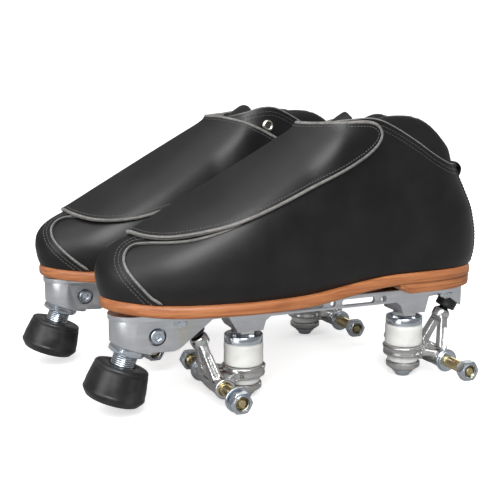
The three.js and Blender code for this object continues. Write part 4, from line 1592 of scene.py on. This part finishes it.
@dataclass
class ToeStop:
    """Adjustable toe stop: rubber, threaded stem and jam nut, built down its own axis."""

    tilt: float = 19.3
    meets_y: float = -49.9
    stem_radius: float = 8.0

    def on_axis(self, obj: Obj) -> Obj:
        """Sets a piece built on the Z axis onto the toe stop's leaning axis."""
        place = Matrix.Translation(Vector((0, self.meets_y, PLATE_TOP)) * MM)
        return settle(obj, place @ Matrix.Rotation(math.radians(-self.tilt), 4, "X"))

    def rubber(self) -> Obj:
        """The rubber stop with a moulded lip round its top."""
        return self.on_axis(turned("toe_stop", [
            (0, -60.3), (9, -60.3), (14.5, -60.25), (16.6, -60.0), (17.6, -59.5), (19.6, -57.0),
                                                (20.4, -55.9),
            (20.65, -55.2), (20.65, -54.4), (20.35, -53.9), (20.3, -53.0), (19.95, -49.0), (19.2, -45.0),
                                                (18.55, -41.2),
            (18.3, -39.8), (17.95, -39.5), (17.75, -39.2), (17.9, -38.8), (18.0, -38.2), (17.7, -37.3),
                                                (17.0, -36.6),
            (16.0, -36.3), (9.4, -36.3), (8.6, -36.9), (8.4, -46), (0, -46)], "stop", 72))

    def stem(self) -> Obj:
        """The threaded stem."""
        return self.on_axis(thread_rod("toe_stop_stem", self.stem_radius, -50.9, -13.0, 1.25, 0.4, "zinc",
                                       40))

    def jam_nut(self) -> Obj:
        """The jam nut under the housing."""
        return self.on_axis(nut("toe_stop_jam_nut", 22.0, -28.6, -23.65, 8.1, "zinc"))


# ---- truck -----------------------------------------------------------------------------------
def strut(start: Sequence[float], end: Sequence[float], wide: float, deep: float, swell: float = 1.0) -> Obj:
    """A square bar between two points, its far end scaled by swell."""
    a, b = Vector(start) * MM, Vector(end) * MM
    turn = Vector((0, 0, 1)).rotation_difference(b - a)
    bpy.ops.object.select_all(action="DESELECT")
    bpy.ops.mesh.primitive_cube_add(size=1, scale=(wide * MM, deep * MM, (b - a).length))
    obj = bpy.context.active_object
    settle(obj, obj.matrix_world.copy())
    for vertex in obj.data.vertices:
        if vertex.co.z > 0:
            vertex.co.x *= swell
            vertex.co.y *= swell
    obj.data.materials.append(Rack.get("cast"))
    return settle(obj, Matrix.Translation((a + b) / 2) @ turn.to_matrix().to_4x4())


@dataclass
class Truck:
    """One truck built round the front axle, its pivot toward the toe."""

    kingpin_y: float = 21.5
    pivot_y: float = -14.5
    pivot_z: float = 36.5
    pivot_tilt: float = 30.0
    hanger_half: float = 22.5
    axle_half: float = 53.0
    axle_radius: float = 4.0
    voxel: float = 0.55

    def on_kingpin(self, obj: Obj) -> Obj:
        """Sets a piece built on the Z axis onto the kingpin."""
        return settle(obj, Matrix.Translation(Vector((0, self.kingpin_y, 0)) * MM))

    def on_pivot(self, obj: Obj) -> Obj:
        """Sets a piece built on the Z axis onto the pivot's axis."""
        place = Matrix.Translation(Vector((0, self.pivot_y, self.pivot_z)) * MM)
        return settle(obj, place @ Matrix.Rotation(math.radians(self.pivot_tilt), 4, "X"))

    def hanger(self) -> Obj:
        """Cast hanger: axle tube, web, cushion ring and a pierced A-frame up to the pivot ball."""
        half = self.hanger_half
        parts = [self.on_kingpin(turned("hanger", [(4, 1.1), (13.2, 1.1), (14.2, 1.5), (14.6, 2.6),
                                                   (14.2, 4.6),
                                                   (14.3, 6.2), (15.0, 7.4), (15.1, 8.3), (14.6, 8.8),
                                                   (4, 8.8)],
                                        "cast", 64))]
        tube = turned("tube", [(0, -half), (6.6, -half), (7.0, -half + 0.5), (7.0, -half + 3.2),
                               (6.6, -half + 4.2),
                               (6.5, -8), (6.9, -4), (6.9, 4), (6.5, 8), (6.6, half - 4.2), (7.0, half - 3.2),
                               (7.0, half - 0.5), (6.6, half), (0, half)], "cast", 48)
        parts.append(along_x(tube))
        outline = flow([(-20, -3), (20, -3), (18.4, 4), (13.4, 9.5), (11.4, 14), (0, 17), (-11.4, 14),
                        (-13.4, 9.5),
                        (-18.4, 4)], 6, True)
        parts.append(prism("web", [tuple(p) for p in outline], Axis.Z, 1.2, 6.2, "cast"))
        parts.append(prism("rib", [(-2.2, -2), (2.2, -2), (2.2, 9.5), (-2.2, 9.5)], Axis.Z, -4.4, 7.3,
                           "cast"))
        for s in (-1, 1):
            parts.append(strut((s * 14.4, -1.4, 0.4), (s * 3.6, -8.8, 25.6), 6.6, 6.8, 0.85))
            parts.append(cylinder("foot", 4.4, (s * 14.8, -1.8, -0.4), (s * 13.2, -2.6, 4.8), 24, "cast"))
        parts.append(strut((0, -7.6, 22.0), (0, -9.9, 27.2), 10.6, 6.2, 0.9))
        parts.append(self.on_pivot(turned("neck", [(0, -13), (6.2, -13), (6.4, -8.6), (6.0, -7.0),
                                                   (5.2, -5.9),
                                                   (3.2, -5.3), (3.0, 0), (0, 0)], "cast", 32)))
        bpy.ops.object.select_all(action="DESELECT")
        bpy.ops.mesh.primitive_uv_sphere_add(segments=32, ring_count=20, radius=4.2 * MM,
                                             location=(0, self.pivot_y * MM, self.pivot_z * MM))
        ball = bpy.context.active_object
        ball.data.materials.append(Rack.get("cast"))
        parts.append(settle(ball, ball.matrix_world.copy()))
        body = merged("hanger", parts)
        modify(body, "REMESH", mode="VOXEL", voxel_size=0.6 * MM)
        tools = [self.on_kingpin(cylinder("eye", 6.9, (0, 0, -8), (0, 0, 30), 48)),
                 cylinder("bore", self.axle_radius + 0.25, (-40, 0, 0), (40, 0, 0), 32)]
        for s in (-1, 1):
            tools.append(strut((s * 16.0, -2.8, 4.4), (s * 9.0, -7.6, 20.4), 3.0, 2.6, 0.8))
        boolean(body, Join.CUT, *tools)
        modify(body, "REMESH", mode="VOXEL", voxel_size=self.voxel * MM)
        modify(body, "SMOOTH", factor=0.5, iterations=5)
        body.data.materials.clear()
        body.data.materials.append(Rack.get("cast"))
        only(body)
        bpy.ops.object.shade_smooth()
        return body

    def kingpin(self) -> Obj:
        """Kingpin with its head below and lock nut above."""
        pin = turned("kingpin",
                     [(0, -14.5), (4.1, -14.5), (4.7, -14.3), (5.35, -13.6), (5.4, -12.3), (6.9, -11.7),
                                 (7.3, -11.3), (7.3, -10.1), (6.9, -9.75), (4.7, -9.7), (4.7, 46.4),
                                 (3.8, 47.3),
                                 (0, 47.4)], "zinc", 48)
        lock = nut("lock_nut", 15.6, 26.8, 33.8, 4.8, "bright")
        boolean(pin, Join.CUT, prism("key", hexagon(4.2), Axis.Z, -16, -12.6, "zinc"))
        return self.on_kingpin(merged("kingpin", [pin, lock]))

    def cushions(self) -> tuple[Obj, Obj]:
        """Upper and lower cushion."""
        top = turned("top_cushion",
                     [(5, 9.1), (12.1, 9.1), (12.8, 9.45), (13.25, 10.3), (13.4, 11.8), (13.35, 13.8),
                                     (13.25, 15.6), (13.2, 16.9), (13.25, 18.2), (13.35, 20.0), (13.4, 21.6),
                                     (13.25, 23.0), (12.8, 23.85), (12.1, 24.2), (5, 24.2), (5, 16.6)],
                     "white", 64)
        low = turned("bottom_cushion", [(5, -3.5), (10.4, -3.5), (10.85, -3.1), (11.15, -2.0), (11.3, -0.8),
                                        (11.2, 0.2), (10.8, 0.7), (5, 0.7)], "white", 56)
        return self.on_kingpin(top), self.on_kingpin(low)

    def cups(self) -> tuple[Obj, Obj]:
        """Upper retainer and lower cup."""
        top = turned("top_retainer", [(5, 24.45), (12.7, 24.45), (13.1, 24.8), (13.1, 29.3), (12.8, 29.7),
                                      (11.9, 29.7), (11.5, 29.3), (11.2, 26.9), (10.8, 26.6), (5, 26.6)],
                     "zinc", 56)
        low = turned("bottom_cup",
                     [(5, -9.4), (8.7, -9.4), (9.3, -9.3), (11.9, -7.4), (12.2, -6.8), (12.2, -4.2),
                                    (11.8, -3.8), (11.0, -3.75), (10.9, -4.4), (5, -4.4)], "cast", 56)
        return self.on_kingpin(top), self.on_kingpin(low)

    def axle(self) -> Obj:
        """Axle with threaded ends."""
        middle = turned("axle", [(0, -42), (3.7, -42), (4.0, -41.6), (4.0, 41.6), (3.7, 42), (0, 42)], "gold",
                        36)
        half = self.axle_half
        ends = []
        for s in (1, -1):
            low, high = sorted((s * 41.5, s * (half - 2.9)))
            ends.append(thread_rod("end", self.axle_radius, low, high, 1.25, 0.5, "gold", 32))
            ends.append(turned("tip", [(0, s * (half - 3)), (3.1, s * (half - 3)), (3.0, s * (half - 2.2)),
                                       (2.3, s * (half - 1.3)), (1.0, s * (half - 1.1)),
                                       (0, s * (half - 1.5))],
                               "gold", 32))
        return along_x(merged("axle", [middle] + ends))

    def axle_nut(self, sign: int) -> Obj:
        """Axle nut with a thin collar on its outer face."""
        low, high = (45.2, 51.7) if sign > 0 else (-51.7, -45.2)
        hexed = nut("axle_nut", 13.0, low, high, 4.2, "zinc")
        out_face = high if sign > 0 else low
        collar = turned("collar", [(4.3, out_face - 0.9 * sign), (5.9, out_face - 0.9 * sign),
                                   (5.7, out_face + 0.45 * sign), (5.2, out_face + 0.7 * sign),
                                   (4.75, out_face + 0.5 * sign), (4.4, out_face - 0.4 * sign)], "zinc", 40)
        return along_x(merged("axle_nut", [hexed, collar]))

    def washers(self, end: End) -> list[Obj]:
        """Loose washers on the axle: some slid out against the nut, some against the hanger."""
        out = []
        half, nut_face = self.hanger_half, 45.2
        by_nut = (nut_face - 2.9, nut_face - 1.3)
        by_hanger = (-half - 1.7, -half - 0.2)
        spans = [by_nut, by_hanger] + ([(-half - 3.3, -half - 1.8)] if end is End.REAR else [])
        for number, (low, high) in enumerate(spans):
            out.append(along_x(washer("washer", 8.2 if number < 2 else 7.2, 4.15, low, high, "zinc")))
        return out

    def pivot_cup(self) -> Obj:
        """Rubber pivot cup with a rounded band where it leaves the plate."""
        return self.on_pivot(turned("pivot_cup", [
            (5.2, -3.9), (6.6, -3.9), (7.1, -3.6), (7.3, -3.0), (7.25, -2.4), (7.1, -1.8), (7.3, -1.0),
                                                  (7.3, 6.3),
            (6.9, 6.6), (2.0, 6.6), (2.0, 4.4), (3.4, 3.2), (4.5, 1.2), (4.55, -1.5), (4.7, -3.2)], "rubber",
                                    48))


# ---- assembly --------------------------------------------------------------------------------
@dataclass(frozen=True)
class Bend:
    """A soft piece's bend between its own body and another, over a span in skate millimetres, kept as a record:
    nothing bends the piece, and one that has a bend is only left without a parent.
    """

    other: str
    start: tuple[float, float, float]
    end: tuple[float, float, float]


@dataclass(frozen=True)
class Piece:
    """One modelled piece and how it joins the frame."""

    master: Obj
    name: str
    body: str
    slot: str
    nodes: tuple = ()
    boot: bool = False
    bend: Bend | None = None
    fill: float | None = None


def place_of(side: Side, boot: bool, rear: bool) -> Matrix:
    """Matrix from skate millimetres, already in metres, to the row frame."""
    matrix = Matrix.Translation(side.origin)
    if boot:
        matrix = matrix @ Matrix.Diagonal((side.sign, 1, 1, 1))
    if rear:
        matrix = matrix @ Matrix.Translation(Vector((0, WHEELBASE, 0)) * MM) @ Matrix.Rotation(math.pi, 4,
                                                                                               "Z")
    return matrix


def slump(obj: Obj, drop: float = 6.0) -> None:
    """Lets the inner ear, the tongue tip and the inner collar front of a boot sit lower by up to drop."""
    flat = np.empty(len(obj.data.vertices) * 3)
    obj.data.vertices.foreach_get("co", flat)
    at = flat.reshape(-1, 3)
    x, y, z = (at / MM).T
    weight = ease((z - 158) / 14) * ease((8 - x) / 12) * ease((y - 58) / 26) * ease((134 - y) / 24)
    at[:, 2] -= weight * drop * MM
    obj.data.vertices.foreach_set("co", at.ravel())
    obj.data.update()


def issue(piece: Piece, side: Side, rear: bool = False) -> Obj:
    """Copies a master into one skate and hangs it on its body, or, for a piece with a bend, leaves it without a
    parent.

    Args:
        piece: the piece.
        side: which skate.
        rear: the piece belongs to the rear truck, built at the front one.

    Returns:
        The finished piece.
    """
    matrix = place_of(side, piece.boot, rear)
    name = f"{side.word}_{piece.name}"
    obj = bpy.data.objects.new(name + "_detailed" * (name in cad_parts), piece.master.data.copy())
    bpy.context.scene.collection.objects.link(obj)
    if piece.boot and side is Side.LEFT and "flap" not in piece.name:
        slump(obj, 10.0 if piece.name == "tongue" else 6.5)
    obj.data.transform(matrix)
    if matrix.determinant() < 0:
        obj.data.flip_normals()
    obj.data.update()
    body = f"{side.word}_{piece.body}"
    if piece.bend:
        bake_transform(obj)
    else:
        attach(obj, body)
    if piece.nodes:
        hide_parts(*(f"{side.word}_{node}" for node in piece.nodes))
    LOG.info("%s rides %s", obj.name, body)
    return obj


def puff(obj: Obj, voxel: float, cap: float, pressure: float) -> None:
    """Swells a padded piece with a short cloth run, moving no point more than cap millimetres.

    Args:
        obj: the piece, closed.
        voxel: remesh size in millimetres.
        cap: furthest that a point may move.
        pressure: inner pressure.
    """
    finish = obj.data.materials[0]
    modify(obj, "REMESH", mode="VOXEL", voxel_size=voxel * MM)
    modify(obj, "SMOOTH", factor=0.5, iterations=3)
    before = np.array([v.co[:] for v in obj.data.vertices])
    only(obj)
    bpy.ops.object.modifier_add(type="CLOTH")
    cloth = obj.modifiers[-1]
    cloth.settings.use_pressure = True
    cloth.settings.uniform_pressure_force = pressure
    cloth.settings.effector_weights.gravity = 0
    cloth.settings.quality = 4
    cloth.collision_settings.use_collision = False
    for frame_number in range(1, 21):
        bpy.context.scene.frame_set(frame_number)
    bpy.ops.object.modifier_apply(modifier=cloth.name)
    bpy.context.scene.frame_set(1)
    after = np.array([v.co[:] for v in obj.data.vertices])
    move = after - before
    far = np.linalg.norm(move, axis=1, keepdims=True)
    move *= np.minimum(1, cap * MM / np.maximum(far, 1e-9))
    for vertex, spot in zip(obj.data.vertices, before + move):
        vertex.co = spot
    modify(obj, "SUBSURF", levels=1, render_levels=1)
    obj.data.materials.clear()
    obj.data.materials.append(finish)
    only(obj)
    bpy.ops.object.shade_smooth()


@dataclass
class Studio:
    """Camera, lights and the pale floor."""

    eye: tuple = (0.61598, -0.24856, 0.21186)
    look: tuple = (-0.90894, 0.37458, -0.18308)
    lens: float = 66.2
    sun: tuple = ((0.75, -0.6, 1.4), 1.5, 75.0)
    lamps: tuple = (
        ("key", (1.25, -0.42, 0.98), (0.08, -0.04, 0.07), 0.85, 15.0),
        ("side", (0.75, -1.5, 0.45), (0.0, 0.0, 0.05), 0.9, 6.0),
        ("back", (-0.9, 1.3, 1.1), (0.0, 0.0, 0.12), 1.0, 6.0),
    )

    def camera(self) -> None:
        """Places the camera."""
        data = bpy.data.cameras.new("camera")
        data.lens, data.sensor_width = self.lens, 36.0
        data.clip_start, data.clip_end = 0.01, 60
        obj = bpy.data.objects.new("camera", data)
        bpy.context.scene.collection.objects.link(obj)
        obj.location = self.eye
        obj.rotation_euler = Vector(self.look).to_track_quat("-Z", "Y").to_euler()
        bpy.context.scene.camera = obj

    def lights(self) -> None:
        """Soft square lamps and a pale world."""
        for name, spot, target, size, power in self.lamps:
            data = bpy.data.lights.new(name, "AREA")
            data.size, data.energy = size, power
            obj = bpy.data.objects.new(name, data)
            bpy.context.scene.collection.objects.link(obj)
            obj.location = spot
            obj.rotation_euler = (Vector(target) - Vector(spot)).to_track_quat("-Z", "Y").to_euler()
        (x, y, z), power, spread = self.sun
        data = bpy.data.lights.new("sky", "SUN")
        data.energy, data.angle = power, math.radians(spread)
        sky = bpy.data.objects.new("sky", data)
        bpy.context.scene.collection.objects.link(sky)
        sky.rotation_euler = Vector((-x, -y, -z)).to_track_quat("-Z", "Y").to_euler()
        self.world()

    @staticmethod
    def world() -> None:
        """A white backdrop whose reflections darken toward the horizon."""
        world = bpy.data.worlds.new("studio")
        bpy.context.scene.world = world
        world.use_nodes = True
        nodes, links = world.node_tree.nodes, world.node_tree.links
        back = nodes["Background"]
        path, place, split = (nodes.new(kind) for kind in ("ShaderNodeLightPath", "ShaderNodeTexCoord",
                                                           "ShaderNodeSeparateXYZ"))
        ramp, mix = nodes.new("ShaderNodeMapRange"), nodes.new("ShaderNodeMix")
        links.new(place.outputs["Generated"], split.inputs[0])
        links.new(split.outputs["Z"], ramp.inputs["Value"])
        for key, value in {"From Min": 0.05, "From Max": 0.75, "To Min": 0.22, "To Max": 0.42}.items():
            ramp.inputs[key].default_value = value
        links.new(path.outputs["Is Camera Ray"], mix.inputs[0])
        links.new(ramp.outputs[0], mix.inputs[2])
        mix.inputs[3].default_value = 1.1
        links.new(mix.outputs[0], back.inputs["Strength"])
        back.inputs["Color"].default_value = (1, 1, 1, 1)

    def floor(self) -> None:
        """A wide pale floor."""
        bpy.ops.object.select_all(action="DESELECT")
        bpy.ops.mesh.primitive_plane_add(size=40, location=(0, 0, -0.0003))
        obj = bpy.context.active_object
        obj.name = "studio_floor"
        settle(obj, obj.matrix_world.copy())
        obj.data.materials.append(Rack.get("floor"))

    def build(self) -> None:
        """Sets up the whole studio."""
        bpy.context.scene.view_settings.view_transform = "Standard"
        self.camera()
        self.lights()
        self.floor()


def boot_pieces() -> list[Piece]:
    """Models every piece of the left boot."""
    boot = Boot()
    hinge = Bend("flap", (-8.2, 0, 120), (3.8, 0, 120))
    out = [Piece(boot.upper(), "boot_upper", "skate", "upper_leather", ("boot_upper",), True)]
    out.append(Piece(boot.front_panel(), "front_panel", "skate", "upper_leather", (), True))
    out.append(Piece(boot.flap_shell(), "instep_flap", "skate", "upper_leather", ("instep_flap",), True,
                     hinge))
    rim, ups = boot.flap_rim()
    strip = sweep("flap_edge", rim, ups, oval(1.2, 1.45, 10, 0.8), "edge", closed=True)
    out.append(Piece(strip, "flap_edge", "skate", "upper_leather", (), True, hinge))
    line = beside(rim, ups, 2.7, True)
    if np.ptp(line[:, 1]) > np.ptp(rim[:, 1]):
        line = beside(rim, ups, -2.7, True)
    on, on_ups = boot.form.skin(boot.flap_high).drop(spaced(line, 1.0, True), 3, True)
    out.append(Piece(stitch_row("flap_stitches", on, on_ups, "thread", 2.2, 1.5, 0.3), "flap_stitches",
                     "skate",
                     "upper_leather", (), True, hinge))
    for obj in boot.edges() + boot.seam_stitches():
        out.append(Piece(obj, obj.name.split(".")[0], "skate", "upper_leather", (), True))
    collar, tongue = boot.collar(), boot.tongue()
    puff(collar, 1.6, 0.9, 3.0)
    puff(tongue, 1.6, 0.8, 3.0)
    out.append(Piece(collar, "padded_collar", "skate", "upper_leather", (), True, None, 0.8))
    out.append(Piece(tongue, "tongue", "skate", "upper_leather", ("tongue",), True, None, 0.6))
    for obj in boot.eyelets():
        out.append(Piece(obj, obj.name.split(".")[0], "skate", "zinc_steel", (), True))
    for obj in boot.laces() + [boot.hook_tape(), boot.back_strip(), boot.pull_tab()] + boot.back_stitches():
        out.append(Piece(obj, obj.name.split(".")[0], "skate", "upper_leather", (), True))
    for obj in boot.soles():
        nodes = () if obj.name.startswith("insole") else (obj.name.split(".")[0],)
        out.append(Piece(obj, obj.name.split(".")[0], "skate", "sole_leather", nodes, True))
    return out


def plate_pieces() -> list[Piece]:
    """Models the plate and the toe stop."""
    plate, stop = Plate(), ToeStop()
    out = [Piece(plate.body(), "plate", "skate", "plate_alloy", ("plate",)),
           Piece(plate.clamp_bolt(), "pinch_bolt", "skate", "zinc_steel", ("pinch_bolt",)),
           Piece(stop.rubber(), "toe_stop", "toe_stop_unit", "black_rubber", ("toe_stop",)),
           Piece(stop.stem(), "toe_stop_stem", "toe_stop_unit", "zinc_steel", ("toe_stop_stem",)),
           Piece(stop.jam_nut(), "toe_stop_jam_nut", "skate", "zinc_steel", ("toe_stop_jam_nut",))]
    for number, obj in enumerate(plate.mount_nuts()):
        out.append(Piece(obj, f"mount_nut_{number}", "skate", "zinc_steel"))
    return out


def truck_pieces(end: End) -> list[Piece]:
    """Models one truck at the front axle, named for its end."""
    truck, word = Truck(), end.value
    top, low = truck.cushions()
    retainer, cup = truck.cups()
    y = truck.kingpin_y
    out = [Piece(top, "top_cushion", "skate", "white_urethane", (f"{word}_top_cushion",), False,
                 Bend(f"{word}_truck", (0, y, 24.2), (0, y, 9.1))),
           Piece(low, "bottom_cushion", "skate", "white_urethane", (f"{word}_bottom_cushion",), False,
                 Bend(f"{word}_truck", (0, y, -3.5), (0, y, 0.7))),
           Piece(retainer, "top_retainer", "skate", "zinc_steel", (f"{word}_top_retainer",)),
           Piece(cup, "bottom_cup", "skate", "zinc_steel", (f"{word}_bottom_cup",)),
           Piece(truck.kingpin(), "kingpin", "skate", "zinc_steel", (f"{word}_kingpin",)),
           Piece(truck.pivot_cup(), "pivot_cup", "skate", "black_rubber", (f"{word}_pivot_cup",)),
           Piece(truck.axle(), "axle", f"{word}_truck", "golden_zinc", (f"{word}_axle",)),
           Piece(truck.axle_nut(1), "axle_nut_a", f"{word}_truck", "zinc_steel", (f"{word}_axle_nut_a",)),
           Piece(truck.axle_nut(-1), "axle_nut_b", f"{word}_truck", "zinc_steel", (f"{word}_axle_nut_b",))]
    for number, obj in enumerate(truck.washers(end)):
        out.append(Piece(obj, f"washer_{number}", f"{word}_truck", "zinc_steel"))
    return out


def main() -> None:
    """Builds the studio and both skates, and reports each piece."""
    logging.basicConfig(level=logging.INFO, format="%(message)s")
    Studio().build()
    hanger = Truck().hanger()
    groups = [(boot_pieces(), False, ""), (plate_pieces(), False, "")]
    for end in End:
        pieces = truck_pieces(end)
        pieces.append(Piece(hanger, "hanger", f"{end.value}_truck", "polished_alloy",
                            (f"{end.value}_hanger",)))
        groups.append((pieces, end is End.REAR, f"{end.value}_"))
    for pieces, rear, prefix in groups:
        for piece in pieces:
            named = Piece(piece.master, prefix + piece.name, piece.body, piece.slot, piece.nodes, piece.boot,
                          piece.bend, piece.fill)
            for side in Side:
                issue(named, side, rear)
    for master in {piece.master for pieces, _, _ in groups for piece in pieces}:
        bpy.data.objects.remove(master)


if __name__ == "__main__":
    main()
